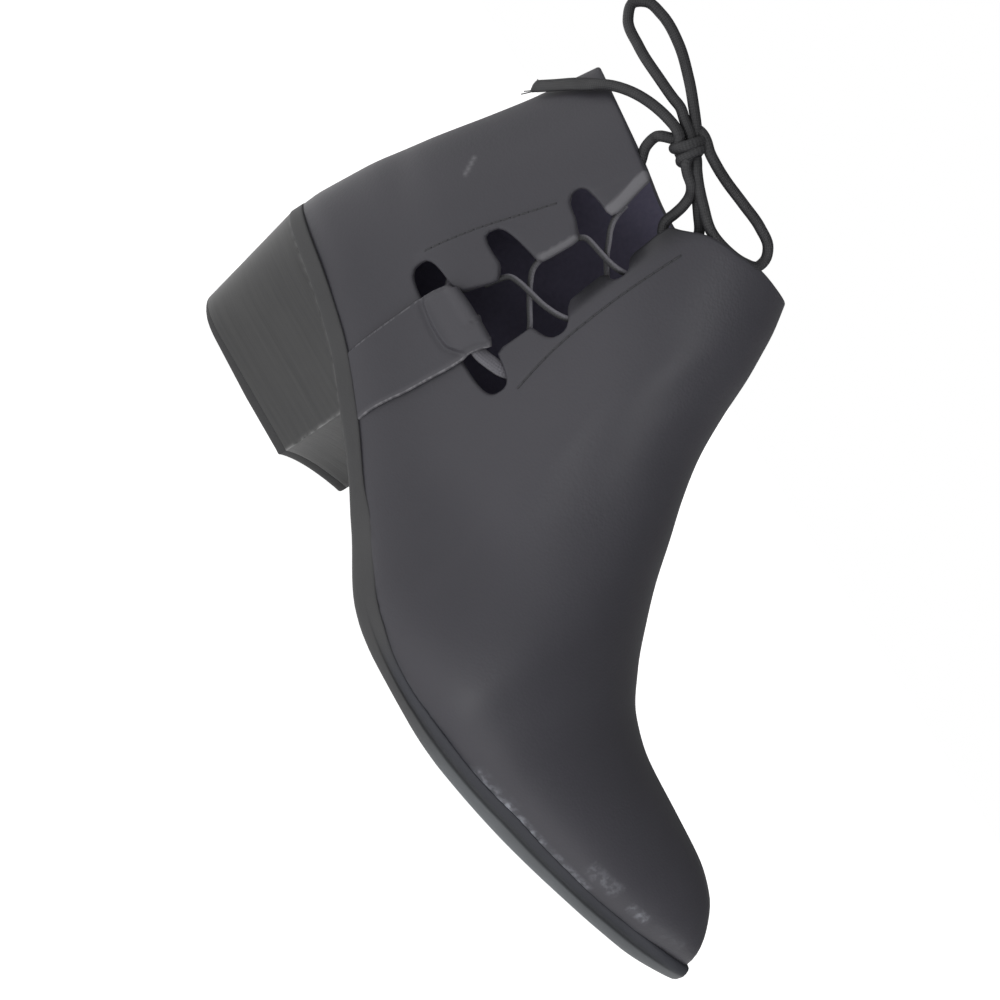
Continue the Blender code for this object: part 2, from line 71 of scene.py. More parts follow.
# place along the foot, outer and inner half-width
SOLE_PLAN = (
    (-0.6, 30.0, 29.5),
    (25.0, 30.5, 30.0),
    (48.0, 30.5, 29.5),
    (72.0, 30.5, 28.5),
    (100.0, 33.0, 27.0),
    (122.0, 43.0, 31.0),
    (140.0, 48.6, 36.5),
    (160.0, 50.0, 42.0),
    (176.0, 46.5, 43.5),
    (200.0, 38.8, 40.0),
    (225.0, 29.0, 31.0),
    (250.0, 15.8, 17.0),
    (264.6, 8.2, 8.5),
)
# place along the foot, height of the underside, thickness of the edge
SOLE_SIDE = (
    (-0.6, 38.8, 5.0),
    (25.0, 37.2, 5.0),
    (48.0, 32.6, 5.2),
    (72.0, 23.2, 5.8),
    (100.0, 9.4, 6.5),
    (122.0, 1.5, 7.3),
    (131.0, 0.3, 7.4),
    (140.0, 0.0, 7.2),
    (164.0, 0.0, 7.3),
    (172.0, 0.15, 7.3),
    (180.0, 0.85, 7.25),
    (190.0, 1.95, 7.6),
    (200.0, 3.3, 8.2),
    (212.0, 5.4, 8.2),
    (225.0, 8.0, 8.0),
    (236.0, 10.2, 8.3),
    (250.0, 13.5, 8.6),
    (264.6, 18.2, 7.2),
)
SOLE_BACK = 0.6
SOLE_TIP = 264.6
HEEL_ROUND = 36.0
TIP_ROUND = 18.0
TOE_SWING = 4.0
SWING_START = 165.0
SIDE_STEP = 1.8
STEP_START = 120.0
STEP_FULL = 175.0
STEP_FADE = 245.0
SOLE_COLUMNS = 150
# place along the foot, how far the leather hangs over the sole's edge, how much the buffed waist is thinned
OVERHANG = (
    (0.0, 0.1, 0.0),
    (72.0, 0.1, 0.0),
    (82.0, 0.0, 0.6),
    (91.0, -0.4, 1.2),
    (100.0, -1.6, 1.0),
    (109.0, -1.8, 0.8),
    (117.0, -1.5, 0.5),
    (124.0, -0.4, 0.1),
    (130.0, 0.1, 0.0),
    (137.0, 0.8, 0.0),
    (144.0, 1.5, 0.0),
    (151.0, 1.7, 0.0),
    (161.0, 0.9, 0.0),
    (172.0, 0.3, 0.0),
    (196.0, 0.3, 0.0),
    (213.0, 1.0, 0.0),
    (238.0, 1.2, 0.0),
    (256.0, 0.9, 0.0),
    (264.6, 0.6, 0.0),
)
# share of the edge's height, share of the side step, round at the edge, more round at the tip, share of the pale
# lower band; the pale share just over the step, at 0.51 and 0.54, is painted light that lifts the shade in the step's
# corner
SOLE_RINGS = (
    (0.0, 0.0, 1.3, 1.3, 1.0),
    (0.035, 0.0, 0.6, 1.0, 1.0),
    (0.09, 0.0, 0.18, 0.7, 1.0),
    (0.18, 0.0, 0.0, 0.35, 1.0),
    (0.44, 0.0, 0.0, 0.0, 1.0),
    (0.48, 0.12, 0.0, 0.0, 1.0),
    (0.51, 0.75, 0.0, 0.0, 0.55),
    (0.54, 1.0, 0.0, 0.05, 0.3),
    (0.68, 1.0, 0.0, 0.25, 0.0),
    (0.86, 1.0, 0.0, 0.75, 0.0),
    (0.95, 1.0, 0.06, 1.2, 0.0),
    (0.985, 1.0, 0.22, 1.5, 0.0),
    (1.0, 1.0, 0.6, 1.8, 0.0),
)
SEAT_END = 64.0
SEAT_EASE = 16.0
SEAT_SHARP = 0.1
LOWER_EDGE = 0.3
# where the dark upper band and the pale lower band start, and the length over which they come in
DARK_START = 130.0
DARK_EASE = 20.0
PALE_START = 150.0
PALE_EASE = 36.0
PALE_FADE = 0.3
FADE_START = 232.0
ROUND_POWER = 1.85


def curve_through(rows, value=1):
    """A smooth curve through a table's rows, without overshoot, that runs on straight past both ends."""
    places = np.array([row[0] for row in rows])
    values = np.array([row[value] for row in rows])
    widths = np.diff(places)
    slopes = np.diff(values) / widths
    tangents = np.concatenate(([slopes[0]], np.zeros(len(slopes) - 1), [slopes[-1]]))
    for i in range(1, len(slopes)):
        if slopes[i - 1] * slopes[i] > 0:
            ahead = 2 * widths[i] + widths[i - 1]
            behind = widths[i] + 2 * widths[i - 1]
            tangents[i] = (ahead + behind) / (ahead / slopes[i - 1] + behind / slopes[i])

    def at(place):
        place = np.asarray(place, dtype=float)
        held = np.clip(place, places[0], places[-1])
        i = np.clip(np.searchsorted(places, held) - 1, 0, len(widths) - 1)
        t = (held - places[i]) / widths[i]
        rise = values[i] + (values[i + 1] - values[i]) * t * t * (3 - 2 * t)
        lean = widths[i] * t * (1 - t) * (tangents[i] * (1 - t) - tangents[i + 1] * t)
        past = place - held
        return rise + lean + past * np.where(past < 0, tangents[0], tangents[-1])

    return at


outer_half = curve_through(SOLE_PLAN, 1)
inner_half = curve_through(SOLE_PLAN, 2)
underside = curve_through(SOLE_SIDE, 1)
edge_thickness = curve_through(SOLE_SIDE, 2)
overhang = curve_through(OVERHANG, 1)
buffed = curve_through(OVERHANG, 2)


def eased(share):
    share = np.clip(share, 0.0, 1.0)
    return share * share * (3 - 2 * share)


def rounded(share):
    return np.sqrt(1 - (1 - np.clip(share, 0.0, 1.0)) ** ROUND_POWER)


def feather(x):
    """Height of the line where upper and sole meet."""
    return underside(x) + edge_thickness(x)


def centre_line(x):
    return TOE_SWING * eased((x - SWING_START) / (SOLE_TIP - SWING_START))


def last_half(side, x):
    return outer_half(x) if side == OUTER else inner_half(x)


def spaced(count):
    """Shares from 0 to 1, closer at both ends."""
    return (1 - np.cos(np.pi * np.linspace(0, 1, count + 1))) / 2


def ring_of(x, outer_y, inner_y):
    """Plan of a piece, from its back along the outer side to its front and back along the inner side."""
    outer = np.stack([x, outer_y], axis=1)
    inner = np.stack([x, inner_y], axis=1)
    return np.concatenate([outer, inner[-2:0:-1]])


def inset(plan, by):
    """A plan moved in from its edge."""
    along = np.roll(plan, -1, axis=0) - np.roll(plan, 1, axis=0)
    normal = np.stack([along[:, 1], -along[:, 0]], axis=1)
    normal /= np.linalg.norm(normal, axis=1)[:, None]
    return plan - normal * np.asarray(by).reshape(-1, 1)


def strips_across(count):
    """Faces from side to side over a plan that starts at its back and has its front half way round."""
    for j in range(count // 2):
        yield tuple(dict.fromkeys((j, j + 1, count - j - 1, (count - j) % count)))


def loft(rings, cap):
    """Points and faces between rings of equal count, capped at both ends."""
    count = len(rings[0])
    faces = []
    for low in range(len(rings) - 1):
        for j in range(count):
            k = (j + 1) % count
            faces.append((low * count + j, low * count + k, (low + 1) * count + k, (low + 1) * count + j))
    for start in (0, (len(rings) - 1) * count):
        faces.extend(tuple(start + corner for corner in corners) for corners in cap)
    return np.concatenate(rings), faces


def face_outward(mesh):
    """Turns the faces of closed shells outwards."""
    bm = bmesh.new()
    bm.from_mesh(mesh)
    bmesh.ops.recalc_face_normals(bm, faces=bm.faces)
    bm.to_mesh(mesh)
    bm.free()


def piece(name, points, faces, looks, turn_out=True):
    """A smooth shaded object at the origin, from points in the shoe frame, that rides on the boot."""
    mesh = bpy.data.meshes.new(name)
    mesh.from_pydata(((np.asarray(points) - MIDDLE) * MM).tolist(), [], faces)
    if turn_out:
        face_outward(mesh)
    mesh.shade_smooth()
    for look in looks:
        mesh.materials.append(look)
    made = bpy.data.objects.new(name, mesh)
    bpy.context.scene.collection.objects.link(made)
    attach(made, "root")
    return made


def store(made, name, values):
    """Keeps one number for each point of a piece, for its material to read."""
    kept = made.data.attributes.new(name, "FLOAT", "POINT")
    kept.data.foreach_set("value", np.asarray(values, dtype=np.float32))


def linear(code):
    """Linear colour of an sRGB hex value."""
    parts = [int(code[i : i + 2], 16) / 255 for i in (1, 3, 5)]
    return (*[p / 12.92 if p <= 0.04045 else ((p + 0.055) / 1.055) ** 2.4 for p in parts], 1.0)


def node(look, kind, values=None, links=None, **settings):
    """One more node of a material, with its settings, socket values and links."""
    made = look.node_tree.nodes.new(kind)
    for key, value in settings.items():
        setattr(made, key, value)
    for socket, value in (values or {}).items():
        made.inputs[socket].default_value = value
    for socket, source in (links or {}).items():
        look.node_tree.links.new(source, made.inputs[socket])
    return made


def finish_named(name, roughness, ior, specular, coat=0.0, coat_roughness=0.3):
    """A new material, its shader and its Object coordinates."""
    look = bpy.data.materials.new(name)
    look.use_nodes = True
    shader = look.node_tree.nodes["Principled BSDF"]
    shader.inputs["Roughness"].default_value = roughness
    shader.inputs["IOR"].default_value = ior
    shader.inputs["Specular IOR Level"].default_value = specular
    shader.inputs["Coat Weight"].default_value = coat
    shader.inputs["Coat Roughness"].default_value = coat_roughness
    place = node(look, "ShaderNodeTexCoord").outputs["Object"]
    return look, shader, place


def sole_plan(columns):
    x = SOLE_BACK + (SOLE_TIP - SOLE_BACK) * spaced(columns)
    ends = rounded((x - SOLE_BACK) / HEEL_ROUND) * rounded((SOLE_TIP - x) / TIP_ROUND)
    return ring_of(x, centre_line(x) - outer_half(x) * ends, centre_line(x) + inner_half(x) * ends)


# Buffed moulded rubber: a matt grey with a fine sanded tooth and faint cloudy patches. From the ball on, two
# attributes give the dark upper band and the pale lower one.
rubber, shader, place = finish_named("buffed_sole_rubber", 0.62, 1.5, 0.35)
cloud = node(rubber, "ShaderNodeTexNoise", {"Scale": 55.0, "Detail": 4.0}, {"Vector": place}).outputs["Fac"]
darkened = node(rubber, "ShaderNodeAttribute", attribute_name="dark_band").outputs["Fac"]
paled = node(rubber, "ShaderNodeAttribute", attribute_name="pale_band").outputs["Fac"]
waist = node(
    rubber, "ShaderNodeMix", {6: linear("#39393A"), 7: linear("#434344")}, {0: cloud}, data_type="RGBA"
).outputs[2]
dark = node(
    rubber, "ShaderNodeMix", {6: linear("#2D2E33"), 7: linear("#37383E")}, {0: cloud}, data_type="RGBA"
).outputs[2]
pale = node(
    rubber, "ShaderNodeMix", {6: linear("#4E5052"), 7: linear("#616467")}, {0: cloud}, data_type="RGBA"
).outputs[2]
tone = node(rubber, "ShaderNodeMix", links={0: darkened, 6: waist, 7: dark}, data_type="RGBA").outputs[2]
tone = node(rubber, "ShaderNodeMix", links={0: paled, 6: tone, 7: pale}, data_type="RGBA").outputs[2]
rubber.node_tree.links.new(tone, shader.inputs["Base Color"])
tooth = node(rubber, "ShaderNodeTexNoise", {"Scale": 1500.0, "Detail": 3.0}, {"Vector": place}).outputs["Fac"]
sanded = node(rubber, "ShaderNodeBump", {"Strength": 0.25, "Distance": 0.0002}, {"Height": tooth})
rubber.node_tree.links.new(sanded.outputs["Normal"], shader.inputs["Normal"])

plan = sole_plan(SOLE_COLUMNS)
step = SIDE_STEP * eased((plan[:, 0] - STEP_START) / (STEP_FULL - STEP_START))
tip = eased((plan[:, 0] - STEP_FADE) / (SOLE_TIP - STEP_FADE))
step *= 1 - tip
lower_edge = SEAT_SHARP + (1 - SEAT_SHARP) * eased((plan[:, 0] - SEAT_END) / SEAT_EASE)
rings = []
for share, stepped, edge, tip_edge, lower in SOLE_RINGS:
    round_by = edge * (lower_edge if share < LOWER_EDGE else 1.0)
    ring = inset(plan, step * stepped + round_by + tip_edge * tip)
    low = underside(ring[:, 0]) + buffed(ring[:, 0])
    high = feather(ring[:, 0]) - overhang(ring[:, 0])
    rings.append(np.column_stack([ring, low + (high - low) * share]))
points, faces = loft(rings, list(strips_across(len(plan))))
sole = piece("sole", points, faces, [rubber])
lower = np.array([row[4] for row in SOLE_RINGS])[:, None]
store(sole, "dark_band", ((1 - lower) * eased((plan[:, 0] - DARK_START) / DARK_EASE)).reshape(-1))
pale_share = eased((plan[:, 0] - PALE_START) / PALE_EASE)
pale_share *= 1 - PALE_FADE * eased((plan[:, 0] - FADE_START) / (SOLE_TIP - FADE_START))
store(sole, "pale_band", (lower * pale_share).reshape(-1))
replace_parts(sole, "outsole")


# Heel: a block of stacked leather layers, glued, sawn to a slant at the back, hollowed at the breast, sanded and
# waxed. It is nailed and glued under the heel seat.
# back, length of its rounding, outer and inner half-width, outer and inner breast
HEEL_FOOT = (10.2, 17.0, 23.0, 25.0, 68.8, 79.6)
HEEL_SEAT = (0.9, 35.0, 30.1, 29.2, 69.6, 78.8)
BREAST_HOLLOW = 2.6
HEEL_COLUMNS = 40
BREAST_POINTS = 15
HEEL_LEVELS = 14
LIFT_THICK = 2.8
LIFT_SHARE = 0.07
HEEL_EDGE = 0.08
HIGHLIGHT_HALF = 0.8
SEAT_HIGHLIGHT = 0.78
SHARP = 0.6


def heel_ring(share, height):
    """Plan of the heel, from the floor at share 0 to the seat at share 1, with its breast closing the front."""
    sizes = [foot + (seat - foot) * share for foot, seat in zip(HEEL_FOOT, HEEL_SEAT)]
    back, rounding, outer, inner, breast_outer, breast_inner = sizes
    shares = spaced(2 * HEEL_COLUMNS)[: HEEL_COLUMNS + 1] * 2
    outer_x = back + (breast_outer - back) * shares
    inner_x = back + (breast_inner - back) * shares
    outer_y = -outer * rounded((outer_x - back) / rounding)
    inner_y = inner * rounded((inner_x - back) / rounding)
    across = np.linspace(-1, 1, BREAST_POINTS + 2)[1:-1]
    breast_x = np.interp(across, (-1, 1), (breast_outer, breast_inner)) - BREAST_HOLLOW * (1 - across**2)
    breast_y = np.interp(across, (-1, 1), (outer_y[-1], inner_y[-1]))
    x = np.concatenate([outer_x, breast_x, inner_x[:0:-1]])
    y = np.concatenate([outer_y, breast_y, inner_y[:0:-1]])
    return np.column_stack([x, y, np.full(len(x), height)])


def heel_block(rings):
    """Points and faces of a block between heel plans, closed by one face at each end."""
    return loft(rings, [tuple(range(len(rings[0])))])


def soften(made, width, segments):
    """Rounds a piece's sharp edges."""
    bpy.ops.object.select_all(action="DESELECT")
    bpy.context.view_layer.objects.active = made
    made.select_set(True)
    edge = made.modifiers.new("edge", "BEVEL")
    edge.width = width * MM
    edge.segments = segments
    edge.limit_method = "ANGLE"
    edge.angle_limit = SHARP
    edge.harden_normals = False
    bpy.ops.object.modifier_apply(modifier=edge.name)
    made.data.shade_smooth()
    made.data.set_sharp_from_angle(angle=SHARP)
    made.select_set(False)


# Stacked and waxed leather: thin edge-on layers show as fine level streaks, with a darker glue line between layers
# about 4.5 mm apart, under a dull wax. The breast's outer corner, and a little of the seat's edge, carry a painted
# highlight broken into pale chips.
stack, shader, place = finish_named("stacked_waxed_leather", 0.5, 1.5, 0.4, coat=0.06, coat_roughness=0.4)
flat = node(stack, "ShaderNodeMapping", {"Scale": (30.0, 30.0, 900.0)}, {"Vector": place}).outputs["Vector"]
streak = node(stack, "ShaderNodeTexNoise", {"Scale": 1.0, "Detail": 5.0, "Roughness": 0.65}, {"Vector": flat})
cloud = node(stack, "ShaderNodeTexNoise", {"Scale": 40.0, "Detail": 3.0}, {"Vector": place}).outputs["Fac"]
blend = node(stack, "ShaderNodeMath", {1: 0.55}, {0: streak.outputs["Fac"]}, operation="MULTIPLY").outputs[0]
blend = node(stack, "ShaderNodeMath", {1: 0.45}, {0: cloud, 2: blend}, operation="MULTIPLY_ADD").outputs[0]
ramp = node(stack, "ShaderNodeValToRGB", links={"Fac": blend})
ramp.color_ramp.elements[0].position = 0.36
ramp.color_ramp.elements[0].color = linear("#2F2F30")
ramp.color_ramp.elements[1].position = 0.64
ramp.color_ramp.elements[1].color = linear("#373737")
glue = node(
    stack,
    "ShaderNodeTexWave",
    {"Scale": 35.0, "Distortion": 0.25, "Detail": 2.0, "Detail Scale": 0.5},
    {"Vector": place},
    bands_direction="Z",
).outputs["Fac"]
line = node(
    stack, "ShaderNodeMapRange", {"From Max": 0.06, "To Min": 0.93, "To Max": 1.0}, {"Value": glue}
).outputs["Result"]
tone = node(
    stack, "ShaderNodeMix", {0: 1.0}, {6: ramp.outputs["Color"], 7: line}, data_type="RGBA", blend_type="MULTIPLY"
).outputs[2]
# painted highlight, broken into pale chips, along the breast's outer corner and the seat's edge
chipped_highlight = node(stack, "ShaderNodeAttribute", attribute_name="chipped_highlight").outputs["Fac"]
chips = node(stack, "ShaderNodeTexNoise", {"Scale": 330.0, "Detail": 3.0}, {"Vector": place}).outputs["Fac"]
chips = node(
    stack, "ShaderNodeMapRange", {"From Min": 0.36, "From Max": 0.6, "To Max": 0.75}, {"Value": chips}
).outputs["Result"]
chipped_highlight = node(stack, "ShaderNodeMath", {1: 5.0}, {0: chipped_highlight}, operation="POWER").outputs[0]
chipped_highlight = node(stack, "ShaderNodeMath", links={0: chipped_highlight, 1: chips}, operation="MULTIPLY").outputs[0]
tone = node(stack, "ShaderNodeMix", {7: linear("#8A8A8A")}, {0: chipped_highlight, 6: tone}, data_type="RGBA").outputs[2]
stack.node_tree.links.new(tone, shader.inputs["Base Color"])
layers = node(stack, "ShaderNodeMath", links={0: streak.outputs["Fac"], 1: line}, operation="ADD").outputs[0]
bump = node(stack, "ShaderNodeBump", {"Strength": 0.35, "Distance": 0.0003}, {"Height": layers})
stack.node_tree.links.new(bump.outputs["Normal"], shader.inputs["Normal"])

rings = []
for share in np.linspace(0, 1, HEEL_LEVELS):
    ring = heel_ring(LIFT_SHARE + (1 - LIFT_SHARE) * share, LIFT_THICK)
    ring[:, 2] += (underside(ring[:, 0]) - LIFT_THICK) * share
    rings.append(ring)
heel = piece("heel", *heel_block(rings), [stack])
soften(heel, HEEL_EDGE, 3)
# the painted highlight's place: near the breast's outer corner and just under the seat's edge
corner = np.array([heel_ring(share, LIFT_THICK)[HEEL_COLUMNS] for share in (LIFT_SHARE, 1.0)])
corner[1, 2] = underside(corner[1, 0])
places = np.array([vertex.co for vertex in heel.data.vertices]) / MM + MIDDLE
edge_way = (corner[1] - corner[0]) / np.linalg.norm(corner[1] - corner[0])
from_edge = np.linalg.norm(np.cross(places - corner[0], edge_way), axis=1)
from_seat = underside(places[:, 0]) - places[:, 2]
seat_highlight = SEAT_HIGHLIGHT * np.exp(-((from_seat / HIGHLIGHT_HALF) ** 2))
store(heel, "chipped_highlight", np.maximum(np.exp(-((from_edge / HIGHLIGHT_HALF) ** 2)), seat_highlight))
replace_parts(heel, "heel_stack")


# Top lift: the wearing piece under the heel, cut from dense rubber sheet, nailed on and sanded flush with the heel.
# Walking has rounded its lower edge and worn it down towards the back.
# height, how far the edge is worn in, how much more at the back
LIFT_RINGS = (
    (0.0, 0.8, 1.5),
    (0.2, 0.45, 1.15),
    (0.6, 0.15, 0.7),
    (1.2, 0.03, 0.35),
    (2.0, 0.0, 0.1),
    (2.8, 0.0, 0.0),
)
LIFT_EDGE = 0.06
WORN_BACK = 22.0
WORN_EASE = 10.0
WORN_DOWN = 1.5
DOWN_END = 48.0
DOWN_RUN = 40.0

# Dense rubber: dark grey as the heel, matt, with a fine grit.
lift_rubber, shader, place = finish_named("dense_lift_rubber", 0.7, 1.5, 0.3)
grit = node(lift_rubber, "ShaderNodeTexNoise", {"Scale": 1200.0, "Detail": 3.0}, {"Vector": place}).outputs["Fac"]
tone = node(
    lift_rubber, "ShaderNodeMix", {6: linear("#343435"), 7: linear("#3C3C3D")}, {0: grit}, data_type="RGBA"
).outputs[2]
lift_rubber.node_tree.links.new(tone, shader.inputs["Base Color"])
bump = node(lift_rubber, "ShaderNodeBump", {"Strength": 0.3, "Distance": 0.0002}, {"Height": grit})
lift_rubber.node_tree.links.new(bump.outputs["Normal"], shader.inputs["Normal"])

rings = []
for height, worn_in, more in LIFT_RINGS:
    ring = heel_ring(LIFT_SHARE * height / LIFT_THICK, height)
    ring[:, :2] = inset(ring[:, :2], worn_in + more * eased((WORN_BACK - ring[:, 0]) / WORN_EASE))
    down = WORN_DOWN * np.clip((DOWN_END - ring[:, 0]) / DOWN_RUN, 0.0, 1.0)
    ring[:, 2] += down * (1 - height / LIFT_THICK)
    rings.append(ring)
lift = piece("top_lift", *heel_block(rings), [lift_rubber])
soften(lift, LIFT_EDGE, 3)
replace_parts(lift, "heel_top_lift")


# Upper: soft leather, cut, folded at its free edges and lasted over the insole. The outer side is split from the
# collar down, with three cross slots; the edges of the split are folded back as casings for the lace and stitched.
WALL = 2.0
RIM_STEPS = 8
RIM_FADE = 0.2
FEATHER_INSET = 2.0
UPPER_TIP = 262.2
BACK_ROUND = 37.0
SIDE_BULGE = 2.2
BULGE_HEIGHT = 13.0
SHAFT_RISE = 42.0
SHAFT_FRONT = 88.0
SHAFT_FADE = 75.0
UPPER_ROWS = 92
UPPER_COLUMNS = 210
FINE_POINTS = 400
# dorsal line from the collar to the toe: place along the foot, height
RIDGE = (
    (107.6, 152.3),
    (113.0, 145.0),
    (116.9, 138.4),
    (120.6, 131.8),
    (126.7, 119.0),
    (133.4, 106.9),
    (141.4, 96.2),
    (150.4, 86.0),
    (159.2, 75.8),
    (166.6, 68.4),
    (178.8, 57.5),
    (190.9, 49.6),
    (205.0, 45.9),
    (221.9, 44.9),
    (236.5, 43.9),
    (248.0, 40.8),
    (256.0, 35.2),
    (260.4, 29.8),
    (262.2, 25.0),
)
# back line: height, place along the foot
BACK = ((43.7, 1.9), (50.0, 1.0), (64.6, 1.8), (86.8, 5.7), (108.5, 10.5), (121.5, 13.1), (142.0, 16.0))
# collar edge: place along the foot, height
COLLAR = (
    (16.0, 142.0),
    (38.0, 139.6),
    (58.0, 136.6),
    (70.0, 134.6),
    (76.2, 134.4),
    (78.4, 135.9),
    (81.3, 138.9),
    (83.6, 141.4),
    (88.5, 144.8),
    (92.9, 146.8),
    (96.5, 148.9),
    (99.0, 150.2),
    (107.6, 152.3),
)
# collar edge on the inner side, which has no split
INNER_COLLAR = (
    (16.0, 142.0),
    (38.0, 139.4),
    (58.0, 136.4),
    (68.0, 136.2),
    (80.0, 138.6),
    (92.0, 143.6),
    (100.0, 147.8),
    (107.6, 152.3),
)
# half-width of the shaft: height, half-width
SHAFT = ((40.0, 29.5), (62.0, 32.5), (90.0, 35.0), (120.0, 36.5), (150.0, 37.5))
# share of a section's height that its rounded crown takes: place along the foot, share
CROWN = ((0.0, 0.30), (40.0, 0.36), (80.0, 0.44), (107.6, 0.48), (122.0, 0.72), (142.0, 0.96), (266.0, 1.0))
# back and front lobe of each slot: middle along the foot, middle height, half length, half height, roundness, rise
SLOTS = (
    (60.0, 67.5, 15.0, 4.9, 3.0, 0.0),
    (75.0, 68.6, 14.8, 5.0, 3.0, 0.0),
    (64.0, 93.3, 15.3, 4.3, 2.6, 0.16),
    (72.0, 91.4, 13.3, 5.7, 2.6, 0.06),
    (65.0, 117.6, 12.4, 4.2, 2.6, 0.0),
    (70.0, 116.0, 10.4, 4.4, 2.6, 0.0),
)
# side split: height, back edge, front edge, seam of the back casing, seam of the front panel
SPLIT = (
    (69.0, 58.6, 78.4, 42.4, 93.4),
    (76.0, 60.0, 79.2, 43.6, 91.4),
    (88.0, 63.3, 78.8, 46.2, 88.4),
    (97.0, 64.8, 77.4, 48.8, 87.0),
    (113.0, 65.6, 75.8, 53.4, 85.6),
    (121.0, 65.4, 75.6, 55.4, 85.2),
    (135.5, 62.4, 76.2, 58.4, 84.7),
    (150.0, 59.6, 77.0, 62.6, 84.2),
)
SPLIT_FOOT = 69.0
CASING_REACH = 7.0
CASING_FOLD = 1.2
CASING_LIFT = 0.7
CASING_FOOT = 66.0
FOLD_EASE = 6.0
LIFT_EASE = 5.0
SEAM_STEP = 1.6
ROLL = 4.8
ROLL_REACH = 8.0
ROLL_POWER = 1.4
ROLL_FOOT = 88.0
ROLL_TOP = 122.0
ROLL_EASE = 10.0
TOP_HELD = 0.8
TUCK = 0.22
TUCK_HEIGHT = 1.6
FOOT_SWELL = 1.4
SWELL_HEIGHT = 6.0
SWELL_END = 135.0
SWELL_EASE = 35.0
WAVER = 0.1
WAVER_HEIGHT = 2.0
FEATHER_JOG = 0.4
TOE_DROP = 8
JOG_END = 142.0
JOG_EASE = 20.0
CORNER_ROUND = 0.8
# painted shade where the front panel rolls into the split: its reach, how far into the split, where it starts and its
# ease
SHADE_REACH = 8.0
SHADE_IN = 0.5
SHADE_FOOT = 97.0
SHADE_EASE = 8.0
# painted shade in the crease over the sole: its height, where and how fast it widens at the waist, its share and its
# unevenness
CREASE_HIGH = 0.7
WAIST_START = 112.0
WAIST_EASE = 12.0
CREASE_SHADE = 0.15
CREASE_SHADE_UNEVEN = 0.3
CREASE_END = 0.15
# painted highlight and pale rubbed wear on the split's back edge: where it starts, its width and share, and how much
# more at the top
PALE_EDGE_FOOT = 95.0
PALE_EDGE_EASE = 3.0
PALE_EDGE_WIDE = 1.7
PALE_EDGE_SOFT = 0.7
PALE_EDGE_SHARE = 0.4
PALE_EDGE_TOP = 119.0
TOP_WIDER = 1.5
TOP_MORE = 0.1
SCUFF_SHARE = 0.5
GLINT_EASE = 1.5
# the cut's edge: step for its slopes, least slope, distance from which points are drawn onto it, rounds, halvings
STEP = 0.05
LEAST_SLOPE = 0.2
SNAP = 0.3
ROUNDS = 5
HALVINGS = 24
# an uneven line, as three pairs of waves: wave number and start of each wave
BEATS = ((0.31, 0.0, 0.057, 1.0), (0.83, 1.3, 0.11, 0.0), (1.9, 0.4, 0.17, 2.0))
BEAT_SIZE = 1.8
CREASE_SHADE_WAVE = 1.7
# light scuff on the back quarter: start and end in the side view, half-width
SCUFF = (26.2, 97.4, 29.6, 92.7, 0.55)
# painted glints over the feather line: start and end along the foot, lowest and highest above the line, share
GLINTS = (
    (180.0, 195.0, -0.9, 1.7, 1.1),
    (192.0, 226.0, -1.4, 0.5, 1.1),
    (220.5, 231.5, 3.2, 6.6, 0.45),
    (237.0, 243.0, 2.8, 4.6, 0.9),
    (246.0, 256.0, 2.5, 5.0, 0.15),
)
# soft creases: side, start and end in the side view, half-width, depth
CREASES = (
    (OUTER, 172.0, 55.0, 168.0, 30.0, 5.0, 0.35),
    (OUTER, 182.0, 49.0, 181.0, 27.0, 4.0, 0.3),
    (INNER, 172.0, 55.0, 166.0, 28.0, 5.0, 0.4),
    (INNER, 183.0, 49.0, 180.0, 25.0, 4.0, 0.3),
    (OUTER, 6.0, 78.0, 30.0, 72.0, 6.0, 0.35),
    (INNER, 6.0, 80.0, 34.0, 73.0, 6.0, 0.4),
    (INNER, 60.0, 96.0, 112.0, 88.0, 7.0, 0.4),
)

ridge = curve_through(RIDGE)
back_line = curve_through(BACK)
outer_collar = curve_through(COLLAR)
inner_collar = curve_through(INNER_COLLAR)
shaft_half = curve_through(SHAFT)
crown_share = curve_through(CROWN)
split_back = curve_through(SPLIT, 1)
split_front = curve_through(SPLIT, 2)
seam_back = curve_through(SPLIT, 3)
seam_front = curve_through(SPLIT, 4)


def upper_half(side, x, z):
    """Half-width of the upper's outer face at a place in the side view."""
    tip = rounded((UPPER_TIP - x) / TIP_ROUND)
    low = (last_half(side, x) - FEATHER_INSET) * tip
    height = np.maximum(z - feather(x), 0.0)
    shaft = eased(height / SHAFT_RISE) * (1 - eased((x - SHAFT_FRONT) / SHAFT_FADE))
    bulge = SIDE_BULGE * tip * (height / BULGE_HEIGHT) * np.exp(1 - height / BULGE_HEIGHT)
    width = low + (shaft_half(z) - low) * shaft + bulge * (1 - shaft)
    section = np.maximum(ridge(x) - feather(x), GAP)
    crown = rounded((ridge(x) - z) / (section * crown_share(x)))
    return width * crown * rounded((x - back_line(z)) / BACK_ROUND)


def run_along(points):
    """Length from the first point to each point of a line."""
    return np.concatenate(([0.0], np.cumsum(np.linalg.norm(np.diff(points, axis=0), axis=1))))


def ragged(x):
    """An uneven line between about -1 and 1 along the foot."""
    return sum(np.sin(quick * x + a) * np.sin(slow * x + b) for quick, a, slow, b in BEATS) / BEAT_SIZE


